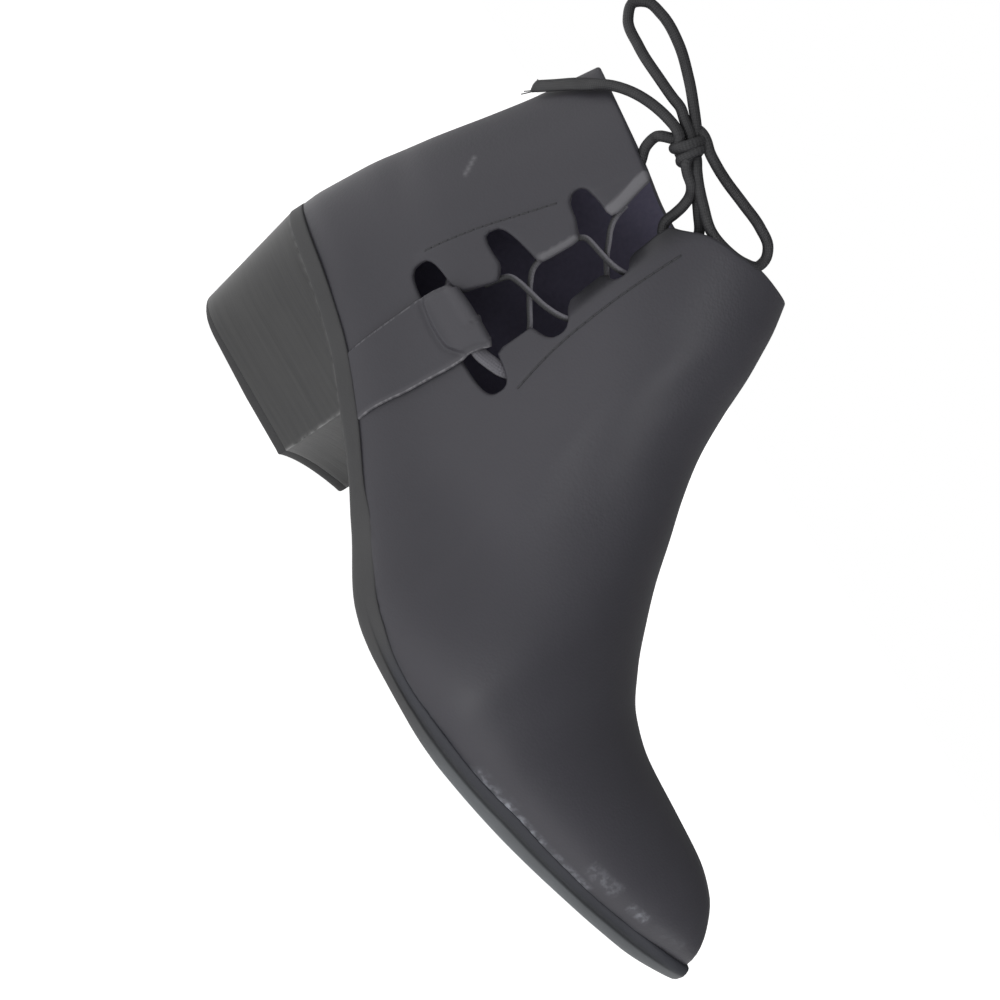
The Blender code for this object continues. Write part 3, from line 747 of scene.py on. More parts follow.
def side_grid(collar):
    """Rows and columns over the side view, between feather line, dorsal line, collar and back line."""
    s = spaced(UPPER_COLUMNS)[None, :]
    v = np.linspace(0, 1, UPPER_ROWS + 1)[:, None]
    heel_x = BACK[0][1]
    bottom_x = heel_x + (UPPER_TIP - heel_x) * s
    jog = FEATHER_JOG * ragged(bottom_x) * (1 - eased((bottom_x - JOG_END) / JOG_EASE))
    bottom = np.stack([bottom_x, feather(bottom_x) - overhang(bottom_x) + jog], axis=-1)
    top_x = COLLAR[0][0] + (COLLAR[-1][0] - COLLAR[0][0]) * s
    top = np.stack([top_x, collar(top_x)], axis=-1)
    foot = feather(heel_x) - overhang(heel_x)
    back_z = foot + (COLLAR[0][1] - foot) * v
    back = np.stack([back_line(back_z), back_z], axis=-1)
    fine_x = np.linspace(UPPER_TIP, RIDGE[0][0], FINE_POINTS)
    run = run_along(np.stack([fine_x, ridge(fine_x)], axis=1))
    front_x = np.interp(v * run[-1], run, fine_x)
    front = np.stack([front_x, ridge(front_x) - overhang(UPPER_TIP) * (1 - v) ** TOE_DROP], axis=-1)
    s = s[..., None]
    v = v[..., None]
    corners = (1 - s) * (1 - v) * bottom[:, :1] + s * (1 - v) * bottom[:, -1:]
    corners = corners + (1 - s) * v * top[:, :1] + s * v * top[:, -1:]
    return (1 - v) * bottom + v * top + (1 - s) * back + s * front - corners


def from_free_edge(x, z):
    """Distance in the side view from the split's nearer edge, below zero inside the split."""
    return np.maximum(split_back(z) - x, x - split_front(z))


def behind_split(x, z):
    return x < (split_back(z) + split_front(z)) / 2


def folded(x, z):
    """Share by which the leather is folded double along the split's back edge."""
    share = np.where(behind_split(x, z), 1 - eased((split_back(z) - x) / CASING_REACH), 0.0)
    return share * eased((z - CASING_FOOT) / FOLD_EASE)


def wall_at(x, z):
    return WALL + CASING_FOLD * folded(x, z)


def merged(one, other):
    """The smaller of two distances, rounded where they meet."""
    share = np.clip(0.5 + 0.5 * (other - one) / CORNER_ROUND, 0.0, 1.0)
    return other + (one - other) * share - CORNER_ROUND * share * (1 - share)


def from_cut(x, z):
    """Distance in the side view from the edge of split and slots, below zero inside them, less the rim's round."""
    nearest = np.maximum(from_free_edge(x, z), SPLIT_FOOT - z)
    for middle_x, middle_z, half_length, half_height, power, rise in SLOTS:
        u = np.maximum(np.abs(x - middle_x) / half_length, 1e-6)
        w = np.maximum(np.abs(z - middle_z - rise * (x - middle_x)) / half_height, 1e-6)
        reach = (u**power + w**power) ** (1 / power)
        slope = np.hypot(u ** (power - 1) / half_length, w ** (power - 1) / half_height) * reach ** (1 - power)
        nearest = merged(nearest, (reach - 1) / slope)
    return nearest - wall_at(x, z) / 2


def casing_lift(x, z):
    """Height of the folded casing over the leather behind it, or the front panel's roll into the split."""
    lift = CASING_LIFT * eased((x - seam_back(z)) / SEAM_STEP + 0.5)
    slack = eased((z - ROLL_FOOT) / ROLL_EASE) * (1 - TOP_HELD * eased((z - ROLL_TOP) / ROLL_EASE))
    roll = ROLL * (1 - eased((x - split_front(z)) / ROLL_REACH)) ** ROLL_POWER * slack
    return np.where(behind_split(x, z), lift, -roll) * eased((z - CASING_FOOT) / LIFT_EASE)


def beside_line(x, z, x0, z0, x1, z1):
    """Share along a straight line in the side view, and distance from it."""
    share = ((x - x0) * (x1 - x0) + (z - z0) * (z1 - z0)) / ((x1 - x0) ** 2 + (z1 - z0) ** 2)
    share = np.clip(share, 0.0, 1.0)
    return share, np.hypot(x - x0 - share * (x1 - x0), z - z0 - share * (z1 - z0))


def pale_wear_and_highlight(x, z):
    """Share of painted highlight and pale rubbed wear on the back edges of the split, and of the pale scuff."""
    top = eased((z - PALE_EDGE_TOP) / PALE_EDGE_EASE)
    edge = 1 - eased((split_back(z) - x - PALE_EDGE_WIDE - TOP_WIDER * top) / PALE_EDGE_SOFT)
    edge = edge * behind_split(x, z) * (PALE_EDGE_SHARE * eased((z - PALE_EDGE_FOOT) / PALE_EDGE_EASE) + TOP_MORE * top)
    *line, half = SCUFF
    away = beside_line(x, z, *line)[1] / half
    return edge + SCUFF_SHARE * np.exp(-away * away)


def in_shade(x, z, height):
    """Share of painted shade where the front panel rolls into the split, and in the crease over the sole."""
    ahead = (x - split_front(z)) / SHADE_REACH
    roll = (1 - eased(ahead)) * (ahead > -SHADE_IN) * eased((z - SHADE_FOOT) / SHADE_EASE)
    high = CREASE_HIGH * (1 + eased((x - WAIST_START) / WAIST_EASE))
    crease = (1 - eased(height / high)) * (1 - eased((x - JOG_END) / JOG_EASE))
    return np.maximum(roll, crease * (CREASE_SHADE + CREASE_SHADE_UNEVEN * ragged(CREASE_SHADE_WAVE * x)))


def glinting(x, height):
    """Share of painted glints, by the place along the foot and the height over the feather line."""
    share = np.zeros_like(x)
    for start, end, low, high, full in GLINTS:
        along = eased((x - start) / GLINT_EASE + 0.5) * eased((end - x) / GLINT_EASE + 0.5)
        share += full * along * eased((height - low) + 0.5) * eased((high - height) + 0.5)
    return share


def crease_depth(side, x, z):
    depth = np.zeros_like(x)
    for on, *line, half, deep in CREASES:
        if on == side:
            share, away = beside_line(x, z, *line)
            fade = np.sin(np.pi * (CREASE_END + (1 - 2 * CREASE_END) * share))
            depth += deep * fade * np.exp(-((away / half) ** 2))
    return depth


def onto_cut(places):
    """Places in the side view moved to the nearest point of the cut's edge."""
    for _ in range(ROUNDS):
        x, z = places.T
        slope_x = (from_cut(x + STEP, z) - from_cut(x - STEP, z)) / (2 * STEP)
        slope_z = (from_cut(x, z + STEP) - from_cut(x, z - STEP)) / (2 * STEP)
        back = from_cut(x, z) / np.maximum(slope_x**2 + slope_z**2, LEAST_SLOPE)
        places = places - np.stack([back * slope_x, back * slope_z], axis=1)
    return places


def cut_side(view, around):
    """Quads of the outer side left standing round the cut, clipped on its edge, and the places that this adds."""
    rows, columns = view.shape[:2]
    away = from_cut(view[..., 0], view[..., 1])
    close = np.abs(away) < SNAP
    close[-1] = False
    view[close] = onto_cut(view[close])
    away[close] = 0.0
    quads = []
    added = []
    crossing = {}

    def crossed(a, b):
        key = (min(a, b), max(a, b))
        if key not in crossing:
            low, high = view[a], view[b]
            for _ in range(HALVINGS):
                middle = (low + high) / 2
                if from_cut(*middle) * away[a] > 0:
                    low = middle
                else:
                    high = middle
            crossing[key] = around * rows + len(added)
            added.append((low + high) / 2)
        return crossing[key]

    for i in range(rows - 1):
        for j in range(columns - 1):
            corners = ((i, j), (i, j + 1), (i + 1, j + 1), (i + 1, j))
            values = [away[corner] for corner in corners]
            if max(values) <= 0:
                continue
            standing = []
            for k in range(4):
                a, b = corners[k], corners[(k + 1) % 4]
                if away[a] >= 0:
                    standing.append(a[0] * around + a[1])
                if away[a] * away[b] < 0:
                    standing.append(crossed(a, b))
            for k in range(1, len(standing) - 1, 2):
                last = standing[min(k + 2, len(standing) - 1)]
                quads.append((standing[0], standing[k], standing[k + 1], last))
    return np.array(quads), np.array(added)


def normals_of(points, quads):
    facing = np.cross(points[quads[:, 2]] - points[quads[:, 0]], points[quads[:, 3]] - points[quads[:, 1]])
    normal = np.zeros_like(points)
    for corner in range(4):
        np.add.at(normal, quads[:, corner], facing)
    return normal / np.linalg.norm(normal, axis=1)[:, None]


def corners_of(faces):
    """Faces as lists of their own corners, three where one is given twice."""
    return [tuple(dict.fromkeys(face)) for face in faces.tolist()]


def leather_wall(points, quads, thickness, steps):
    """Points and faces of a leather wall: its face, its lining and a rounded rim round every open edge."""
    count = len(points)
    normal = normals_of(points, quads)
    lining = points - normal * thickness[:, None]
    edges = np.concatenate([quads[:, [k, (k + 1) % 4]] for k in range(4)])
    edges = edges[edges[:, 0] != edges[:, 1]]
    border = edges[~np.isin(edges[:, 0] * count + edges[:, 1], edges[:, 1] * count + edges[:, 0])]
    side = np.cross(points[border[:, 1]] - points[border[:, 0]], normal[border[:, 0]] + normal[border[:, 1]])
    outward = np.zeros_like(points)
    for end in range(2):
        np.add.at(outward, border[:, end], side)
    rim = np.unique(border)
    outward = outward[rim] / np.linalg.norm(outward[rim], axis=1)[:, None]
    half = (points[rim] - lining[rim]) / 2
    rows = [np.arange(count)]
    rounds = []
    for k in range(1, steps):
        angle = np.pi * k / steps
        reach = np.linalg.norm(half, axis=1)[:, None] * np.sin(angle)
        rounds.append(points[rim] - half + half * np.cos(angle) + outward * reach)
        row = np.zeros(count, dtype=int)
        row[rim] = 2 * count + (k - 1) * len(rim) + np.arange(len(rim))
        rows.append(row)
    rows.append(np.arange(count) + count)
    start, end = border.T
    edge_quads = []
    for low, high in zip(rows, rows[1:]):
        edge_quads.append(np.column_stack([low[end], low[start], high[start], high[end]]))
    faces = np.concatenate([quads, *edge_quads, quads[:, ::-1] + count])
    inside = np.zeros(len(faces), dtype=int)
    inside[-len(quads) :] = 1
    return np.concatenate([points, lining, *rounds]), faces, inside, rim


def upper_point(side, x, z, out=0.0):
    """Points on the upper's outer face, moved out along the face's normal."""

    def face(px, pz):
        return np.stack([px, centre_line(px) + side * upper_half(side, px, pz), pz], axis=-1)

    x, z = np.broadcast_arrays(np.asarray(x, dtype=float), np.asarray(z, dtype=float))
    along = face(x + GAP, z) - face(x - GAP, z)
    up = face(x, z + GAP) - face(x, z - GAP)
    normal = np.cross(along, up) * -side
    normal /= np.linalg.norm(normal, axis=-1)[..., None]
    return face(x, z) + np.asarray(out, dtype=float)[..., None] * normal


# Soft calf leather, dyed grey and finished matt: fine pebble grain about 0.8 mm across, slow cloudy changes of tone,
# a paler rubbed wear and a painted highlight on folds and rims, painted glints as pale specks about 2 mm across over
# the feather line, and painted shade in the crease over the sole and where the front panel rolls into the split. The
# lining is dark blue-grey suede, near black in the shade.
leather, shader, place = finish_named("matt_grey_calf_leather", 0.5, 1.5, 0.42)
shader.inputs["Sheen Weight"].default_value = 0.05
shader.inputs["Sheen Roughness"].default_value = 0.5
cloud = node(leather, "ShaderNodeTexNoise", {"Scale": 38.0, "Detail": 5.0, "Roughness": 0.55}, {"Vector": place})
# painted highlight with pale rubbed wear: on the split's folded back edges and rims, the strap's edges and tab, and
# the pale scuff on the back quarter
rub = node(leather, "ShaderNodeAttribute", attribute_name="rub").outputs["Fac"]
tone = node(
    leather,
    "ShaderNodeMix",
    {6: linear("#2F2E34"), 7: linear("#36353B")},
    {0: cloud.outputs["Fac"]},
    data_type="RGBA",
).outputs[2]
tone = node(leather, "ShaderNodeMix", {7: linear("#77767A")}, {0: rub, 6: tone}, data_type="RGBA").outputs[2]
# painted glints: pale specks where the grain over the feather line catches the light
glints = node(leather, "ShaderNodeAttribute", attribute_name="glints").outputs["Fac"]
specks = node(leather, "ShaderNodeTexNoise", {"Scale": 500.0, "Detail": 5.0}, {"Vector": place}).outputs["Fac"]
specks = node(
    leather,
    "ShaderNodeMapRange",
    {"From Min": 0.44, "From Max": 0.7, "To Min": 0.12, "To Max": 0.8},
    {"Value": specks},
).outputs["Result"]
glints = node(leather, "ShaderNodeMath", links={0: glints, 1: specks}, operation="MULTIPLY").outputs[0]
tone = node(leather, "ShaderNodeMix", {7: linear("#83858C")}, {0: glints, 6: tone}, data_type="RGBA").outputs[2]
# painted shade: the leather is darkened where the front panel rolls into the split and in the crease over the sole
shade = node(leather, "ShaderNodeAttribute", attribute_name="shade").outputs["Fac"]
tone = node(leather, "ShaderNodeMix", {7: linear("#131318")}, {0: shade, 6: tone}, data_type="RGBA").outputs[2]
leather.node_tree.links.new(tone, shader.inputs["Base Color"])
grain = node(leather, "ShaderNodeTexVoronoi", {"Scale": 1150.0}, {"Vector": place}).outputs["Distance"]
pores = node(leather, "ShaderNodeTexNoise", {"Scale": 420.0, "Detail": 4.0}, {"Vector": place}).outputs["Fac"]
relief = node(leather, "ShaderNodeMath", links={0: grain, 1: pores}, operation="ADD").outputs[0]
bump = node(leather, "ShaderNodeBump", {"Strength": 0.16, "Distance": 0.0002}, {"Height": relief})
leather.node_tree.links.new(bump.outputs["Normal"], shader.inputs["Normal"])
gloss = node(
    leather, "ShaderNodeMapRange", {"To Min": 0.44, "To Max": 0.56}, {"Value": cloud.outputs["Fac"]}
).outputs["Result"]
leather.node_tree.links.new(gloss, shader.inputs["Roughness"])

suede, shader, place = finish_named("black_suede_lining", 0.85, 1.45, 0.2)
shader.inputs["Sheen Weight"].default_value = 0.1
nap = node(suede, "ShaderNodeTexNoise", {"Scale": 700.0, "Detail": 4.0}, {"Vector": place}).outputs["Fac"]
tone = node(
    suede, "ShaderNodeMix", {6: linear("#4F4C5D"), 7: linear("#5C596B")}, {0: nap}, data_type="RGBA"
).outputs[2]
suede.node_tree.links.new(tone, shader.inputs["Base Color"])
bump = node(suede, "ShaderNodeBump", {"Strength": 0.3, "Distance": 0.0003}, {"Height": nap})
suede.node_tree.links.new(bump.outputs["Normal"], shader.inputs["Normal"])

view = side_grid(outer_collar)
rows = UPPER_ROWS + 1
around = 2 * UPPER_COLUMNS
inner_places = side_grid(inner_collar)[:, -2:0:-1]
quads, added = cut_side(view, around)
index = np.arange(rows * around).reshape(rows, around)
ahead = np.roll(index, -1, axis=1)
inner_quads = np.stack([index[:-1], ahead[:-1], ahead[1:], index[1:]], axis=-1)[:, UPPER_COLUMNS:]
quads = np.concatenate([quads, inner_quads.reshape(-1, 4)])
places = np.concatenate([np.concatenate([view, inner_places], axis=1).reshape(-1, 2), added])
x, z = places.T
sides = np.where(np.arange(around) <= UPPER_COLUMNS, OUTER, INNER)
sides = np.concatenate([np.tile(sides, rows), np.full(len(added), OUTER)])
half = np.where(sides == OUTER, upper_half(OUTER, x, z), upper_half(INNER, x, z))
half[index[:, 0]] = 0.0
half[index[:, UPPER_COLUMNS]] = 0.0
height = np.maximum(z - feather(x) + overhang(x), 0.0)
raised = -TUCK * np.clip(1 - height / TUCK_HEIGHT, 0.0, 1.0) ** 2
raised += WAVER * np.exp(-height / WAVER_HEIGHT) * ragged(x)
raised += FOOT_SWELL * np.exp(-height / SWELL_HEIGHT) * (1 - eased((x - SWELL_END) / SWELL_EASE))
raised -= np.where(sides == OUTER, crease_depth(OUTER, x, z), crease_depth(INNER, x, z))
raised += np.where(sides == OUTER, casing_lift(x, z), 0.0)
thick = np.where(sides == OUTER, wall_at(x, z), WALL)
wear_and_highlight_shares = np.where(sides == OUTER, pale_wear_and_highlight(x, z), 0.0)
glint_shares = np.where(sides == OUTER, glinting(x, z - feather(x)), 0.0)
shaded = np.where(sides == OUTER, in_shade(x, z, height), 0.0)
sheet = np.stack([x, centre_line(x) + sides * half, z, raised, thick, wear_and_highlight_shares, glint_shares, shaded], axis=-1)
used, quads = np.unique(quads, return_inverse=True)
quads = quads.reshape(-1, 4)
sheet = sheet[used]
points = sheet[:, :3]
points = points + normals_of(points, quads) * sheet[:, 3:4]
points, faces, inside, rim = leather_wall(points, quads, sheet[:, 4], RIM_STEPS)
upper = piece("upper_leather", points, corners_of(faces), [leather, suede], turn_out=False)
upper.data.polygons.foreach_set("material_index", inside)
for name, column, last in (("rub", 5, RIM_FADE), ("glints", 6, RIM_FADE), ("shade", 7, 1.0)):
    shares = np.zeros(len(points))
    shares[: len(sheet)] = sheet[:, column]
    fades = np.linspace(1.0, last, RIM_STEPS - 1)
    shares[2 * len(sheet) :] = np.concatenate([sheet[rim, column] * fade for fade in fades])
    store(upper, name, shares)
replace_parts(upper, "upper")


# Insole: a leather board under a thin brushed sock, cut to the foot of the upper, with a rounded upper edge. It is
# laid on the sole inside the upper and cemented.
INSOLE_CLEAR = 0.6
INSOLE_SHORT = 7.0
INSOLE_ROUND = 12.0
INSOLE_COLUMNS = 90
# lift, inset at the edge
INSOLE_RINGS = ((0.0, 0.0), (1.5, 0.0), (2.05, 0.2), (2.32, 0.6), (2.4, 1.3))

# Sock leather: matt, brushed and nearly black.
sock, shader, place = finish_named("brushed_sock_leather", 0.75, 1.45, 0.25)
nap = node(sock, "ShaderNodeTexNoise", {"Scale": 500.0, "Detail": 4.0}, {"Vector": place}).outputs["Fac"]
tone = node(
    sock, "ShaderNodeMix", {6: linear("#2A2736"), 7: linear("#363343")}, {0: nap}, data_type="RGBA"
).outputs[2]
sock.node_tree.links.new(tone, shader.inputs["Base Color"])
bump = node(sock, "ShaderNodeBump", {"Strength": 0.25, "Distance": 0.0003}, {"Height": nap})
sock.node_tree.links.new(bump.outputs["Normal"], shader.inputs["Normal"])

x = BACK[0][1] + (UPPER_TIP - BACK[0][1]) * spaced(INSOLE_COLUMNS)
halves = {}
for side in (OUTER, INNER):
    halves[side] = upper_half(side, x, feather(x))
    halves[side][0] = halves[side][-1] = 0.0
foot = inset(ring_of(x, centre_line(x) - halves[OUTER], centre_line(x) + halves[INNER]), WALL)
outer = foot[: INSOLE_COLUMNS + 1]
inner = np.concatenate([foot[:1], foot[: INSOLE_COLUMNS - 1 : -1]])
start = outer[0, 0] + INSOLE_CLEAR
end = outer[-1, 0] - INSOLE_SHORT
x = start + (end - start) * spaced(INSOLE_COLUMNS)
closed = rounded((x - start) / INSOLE_ROUND) * rounded((end - x) / INSOLE_ROUND)
outer_y = np.interp(x, outer[:, 0], outer[:, 1])
inner_y = np.interp(x, inner[:, 0], inner[:, 1])
middle = (outer_y + inner_y) / 2
half = (inner_y - outer_y) / 2 - INSOLE_CLEAR
plan = ring_of(x, middle - half * closed, middle + half * closed)
rings = []
for lift_by, by in INSOLE_RINGS:
    ring = inset(plan, by)
    rings.append(np.column_stack([ring, feather(ring[:, 0]) + lift_by]))
insole = piece("insole_sock", *loft(rings, list(strips_across(len(plan)))), [sock])
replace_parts(insole, "insole")


# Heel strap: a strip of the same leather, closed into the feather line, that runs up over the lowest slot and is
# folded over as a tab for the lace. Its front edge is cut raw and pale, with a painted highlight along it.
# height, back edge, front edge
STRAP_EDGES = (
    (26.0, 55.8, 76.8),
    (27.5, 55.7, 75.6),
    (30.0, 55.6, 74.4),
    (33.6, 55.4, 74.1),
    (40.3, 54.9, 74.6),
    (44.0, 54.6, 75.1),
    (52.0, 54.2, 75.7),
    (62.9, 53.9, 76.6),
    (66.8, 54.1, 76.5),
    (71.2, 55.0, 77.2),
    (74.4, 56.2, 79.0),
    (75.4, 56.8, 79.4),
)
STRAP_FOOT = 0.85
STRAP_THICK = 1.5
STRAP_ROWS = 84
STRAP_COLUMNS = 34
TAB_SEAM = 63.0
TAB_TOP = 75.2
TAB_THICK = 3.4
TAB_STEP = 1.5
TAB_GROOVE = 0.3
TAB_SAG = 1.6
TAB_RISE = 2.5
TAB_CORNER = 1.6
TAB_CROWN = 0.5
TAB_WIDTH = 24.0
TAB_FREE = 70.0
FREE_EASE = 3.0
RISE_START = 0.72
GROOVE_BELOW = 0.5
GROOVE_HALF = 0.8
EDGE_SHARE = 0.35
EDGE_REACH = 2.0
FOOT_BACK = 54.0
FOOT_SPAN = 25.0
# pale wear and painted highlight: bands as shares of the width, then the shares all round, on the raw front edge, its
# uneven part, the back edge, the face beside the front edge and the tab
EDGE_BAND = 0.05
FACE_BAND = 0.07
PALE_ROUND = 0.05
PALE_FRONT = 0.35
PALE_UNEVEN = 0.45
PALE_BACK = 0.3
PALE_FACE = 0.12
PALE_TAB = 0.06
# how the pale wear and painted highlight come and go along an edge: wave number, shift, sharpness, middle
BACK_WEAR = (3.1, 0.0, 2.0, 0.6)
FRONT_BREAKS = (4.7, 9.0, 2.0, 0.5)

strap_back = curve_through(STRAP_EDGES, 1)
strap_front = curve_through(STRAP_EDGES, 2)


def uneven(height, wave, shift, sharp, middle):
    """Share of pale wear and painted highlight along an edge, by height."""
    return eased(ragged(wave * height + shift) * sharp + middle)


across = np.linspace(0, 1, STRAP_COLUMNS + 1)[None, :]
up = np.linspace(0, 1, STRAP_ROWS + 1)[:, None]
margin = STRAP_THICK / 2
low = feather(FOOT_BACK + FOOT_SPAN * across) + STRAP_FOOT
for _ in range(ROUNDS):
    foot_x = strap_back(low) + margin + (strap_front(low) - strap_back(low) - 2 * margin) * across
    low = feather(foot_x) + STRAP_FOOT
high = TAB_TOP - TAB_THICK / 2 - TAB_CROWN * np.abs(2 * across - 1) ** 3 - TAB_CORNER * (1 - across) ** 9
z = low + (high - low) * up
x = strap_back(z) + margin + (strap_front(z) - strap_back(z) - 2 * margin) * across
seam = TAB_SEAM - TAB_SAG * (1 - (2 * across - 1) ** 2)
seam += TAB_RISE * eased((across - RISE_START) / (1 - RISE_START))
thick = STRAP_THICK + (TAB_THICK - STRAP_THICK) * eased((z - seam) / TAB_STEP)
thick -= TAB_GROOVE * np.exp(-(((z - seam + GROOVE_BELOW) / GROOVE_HALF) ** 2))
edge = np.minimum(across, 1 - across) * TAB_WIDTH
thick = STRAP_THICK + (thick - STRAP_THICK) * (EDGE_SHARE + (1 - EDGE_SHARE) * eased(edge / EDGE_REACH))
points = upper_point(OUTER, x, z, GAP + casing_lift(x, z) * eased((z - TAB_FREE) / FREE_EASE) + thick)
index = np.arange(points.shape[0] * points.shape[1]).reshape(points.shape[:2])
quads = np.stack([index[:-1, :-1], index[:-1, 1:], index[1:, 1:], index[1:, :-1]], axis=-1).reshape(-1, 4)
flat = points.reshape(-1, 3)
made, faces, inside, rim = leather_wall(flat, quads, thick.reshape(-1), RIM_STEPS)
strap = piece("strap_leather", made, corners_of(faces), [leather, suede], turn_out=False)
strap.data.polygons.foreach_set("material_index", inside)
share_across = np.broadcast_to(across, z.shape).reshape(-1)
height = z.reshape(-1)
# pale wear and painted highlight on the strap: strongest on the raw front edge, less on the back edge, the rims, the
# face beside the front edge and the tab
broken = uneven(height, *BACK_WEAR)
front_edge = eased((share_across - 1 + EDGE_BAND) / EDGE_BAND)
back_edge = eased((EDGE_BAND - share_across) / EDGE_BAND)
front_pale_and_highlight = PALE_FRONT + PALE_UNEVEN * uneven(height, *FRONT_BREAKS)
pale_edge = PALE_ROUND + front_pale_and_highlight * front_edge + PALE_BACK * broken * back_edge
wear_and_highlight_shares = np.zeros(len(made))
wear_and_highlight_shares[: len(flat)] = PALE_FACE * eased((share_across - 1 + FACE_BAND) / FACE_BAND)
wear_and_highlight_shares[: len(flat)] += PALE_TAB * eased((height - TAB_SEAM) / FREE_EASE)
fades = np.linspace(1.0, RIM_FADE, RIM_STEPS - 1)
wear_and_highlight_shares[2 * len(flat) :] = np.concatenate([pale_edge[rim] * fade for fade in fades])
store(strap, "rub", wear_and_highlight_shares)
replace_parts(strap, "heel_strap")


# Seam threads: the casing's row of stitches behind the split, and the fine closed seam that joins the front panel.
# Both are waxed thread, sewn by machine through the leather.
THREAD = 0.7
CORD_SIDES = 16
THREAD_STEP = 0.6
SUNK = 0.12
FLAT_EASE = 9.0
FLAT_WIDER = 0.5
FLAT_THINNER = 0.4
# small domes at a cord's start and end: place along it and width, as shares of its radius
CORD_START = ((0.0, 0.45), (0.05, 0.85), (0.12, 1.0))
CORD_END = ((0.06, 0.8), (0.12, 0.4))
# seam, lowest and highest point, distance from stitch to stitch, length of a stitch
SEAMS = (
    (seam_back, 71.0, 111.0, 2.7, 2.3),
    (seam_front, 73.5, 133.5, 3.0, 2.9),
)


def smooth_route(points, step):
    """Evenly spaced points along a smooth curve through a cord's route points."""
    points = np.asarray(points, dtype=float)
    run = run_along(points)
    tangents = np.gradient(points, run, axis=0)
    fine = np.linspace(0, run[-1], 8 * FINE_POINTS)
    i = np.clip(np.searchsorted(run, fine) - 1, 0, len(points) - 2)
    width = (run[i + 1] - run[i])[:, None]
    t = (fine - run[i])[:, None] / width
    curve = points[i] + (points[i + 1] - points[i]) * t * t * (3 - 2 * t)
    curve = curve + width * t * (1 - t) * (tangents[i] * (1 - t) - tangents[i + 1] * t)
    length = run_along(curve)
    even = np.linspace(0, length[-1], int(np.ceil(length[-1] / step)) + 1)
    return np.column_stack([np.interp(even, length, curve[:, k]) for k in range(3)])


def tube(path, radius, flat_run=0.0, facing=(0.0, -1.0, 0.0)):
    """Points, faces and UV of a round cord along a path, closed at both ends by small domes. Its last flat_run
    millimetres are pressed flat, towards facing."""
    run = run_along(path)
    last = len(path) - 1
    tangent = np.gradient(path, axis=0)
    tangent /= np.linalg.norm(tangent, axis=1)[:, None]
    sides = np.empty_like(path)
    side = np.cross(tangent[last], facing)
    for i in range(last, -1, -1):
        side = side - tangent[i] * (side @ tangent[i])
        side /= np.linalg.norm(side)
        sides[i] = side
    ups = np.cross(tangent, sides)
    flat = eased((run - run[-1] + flat_run) / FLAT_EASE) if flat_run else np.zeros(len(run))
    wide = radius * (1 + FLAT_WIDER * flat)
    thin = radius * (1 - FLAT_THINNER * flat)
    angles = np.linspace(0, 2 * np.pi, CORD_SIDES, endpoint=False)[:, None]
    stations = [(0, *dome) for dome in CORD_START]
    stations += [(i, 0.0, 1.0) for i in range(1, last + 1)]
    stations += [(last, *dome) for dome in CORD_END]
    rings = []
    along = []
    for i, shift, share in stations:
        shape = np.cos(angles) * wide[i] * sides[i] + np.sin(angles) * thin[i] * ups[i]
        rings.append(path[i] + shift * radius * tangent[i] + share * shape)
        along.append((run[i] + shift * radius) * MM)
    faces = []
    uv = []
    for i in range(len(rings) - 1):
        for j in range(CORD_SIDES):
            k = (j + 1) % CORD_SIDES
            low, high = i * CORD_SIDES, (i + 1) * CORD_SIDES
            faces.append((low + j, low + k, high + k, high + j))
            turn, next_turn = j / CORD_SIDES, (j + 1) / CORD_SIDES
            uv += [(along[i], turn), (along[i], next_turn), (along[i + 1], next_turn), (along[i + 1], turn)]
    for start in (0, (len(rings) - 1) * CORD_SIDES):
        faces.append(tuple(range(start, start + CORD_SIDES)))
        uv += [(0.0, 0.0)] * CORD_SIDES
    return np.concatenate(rings), faces, uv


def cord_piece(name, tubes, look):
    """One piece of one or more tubes."""
    points = np.concatenate([made[0] for made in tubes])
    faces = []
    uv = []
    count = 0
    for made in tubes:
        faces += [tuple(count + corner for corner in face) for face in made[1]]
        uv += made[2]
        count += len(made[0])
    made = piece(name, points, faces, [look], turn_out=False)
    layer = made.data.uv_layers.new(name="along")
    layer.data.foreach_set("uv", np.asarray(uv, dtype=np.float32).reshape(-1))
    face_outward(made.data)
    return made


# Waxed sewing thread: near black, with a fine twist that catches a little light.
thread, shader, place = finish_named("waxed_sewing_thread", 0.5, 1.48, 0.35)
twist = node(thread, "ShaderNodeTexNoise", {"Scale": 1800.0, "Detail": 2.0}, {"Vector": place}).outputs["Fac"]
tone = node(
    thread, "ShaderNodeMix", {6: linear("#29292C"), 7: linear("#363639")}, {0: twist}, data_type="RGBA"
).outputs[2]
thread.node_tree.links.new(tone, shader.inputs["Base Color"])
bump = node(thread, "ShaderNodeBump", {"Strength": 0.3, "Distance": 0.0001}, {"Height": twist})
thread.node_tree.links.new(bump.outputs["Normal"], shader.inputs["Normal"])

stitches = []
for seam, low, high, pitch, length in SEAMS:
    for start in np.arange(low, high, pitch):
        z = np.linspace(start, start + length, int(np.ceil(length / THREAD_STEP)) + 1)
        x = seam(z)
        stitches.append(tube(upper_point(OUTER, x, z, casing_lift(x, z) - SUNK), THREAD / 2))
sewing = cord_piece("seam_thread", stitches, thread)


# Lace in the slots: the same round waxed cotton cord as the bow, drawn tight and thin. It comes out of one casing,
# crosses the slot and goes into the casing above on the other side; at the foot it runs through the strap's tab.
CORD = 3.2
CROSSING_CORD = 1.8
CORD_STEP = 0.9
HIGHLIGHT_SHARE = 0.55
RUN_HIGHLIGHT_SHARE = 0.34
HIGHLIGHT_SPREAD = 1.1
HIGHLIGHT_START = 0.2
FLAT_RUN = 24.0
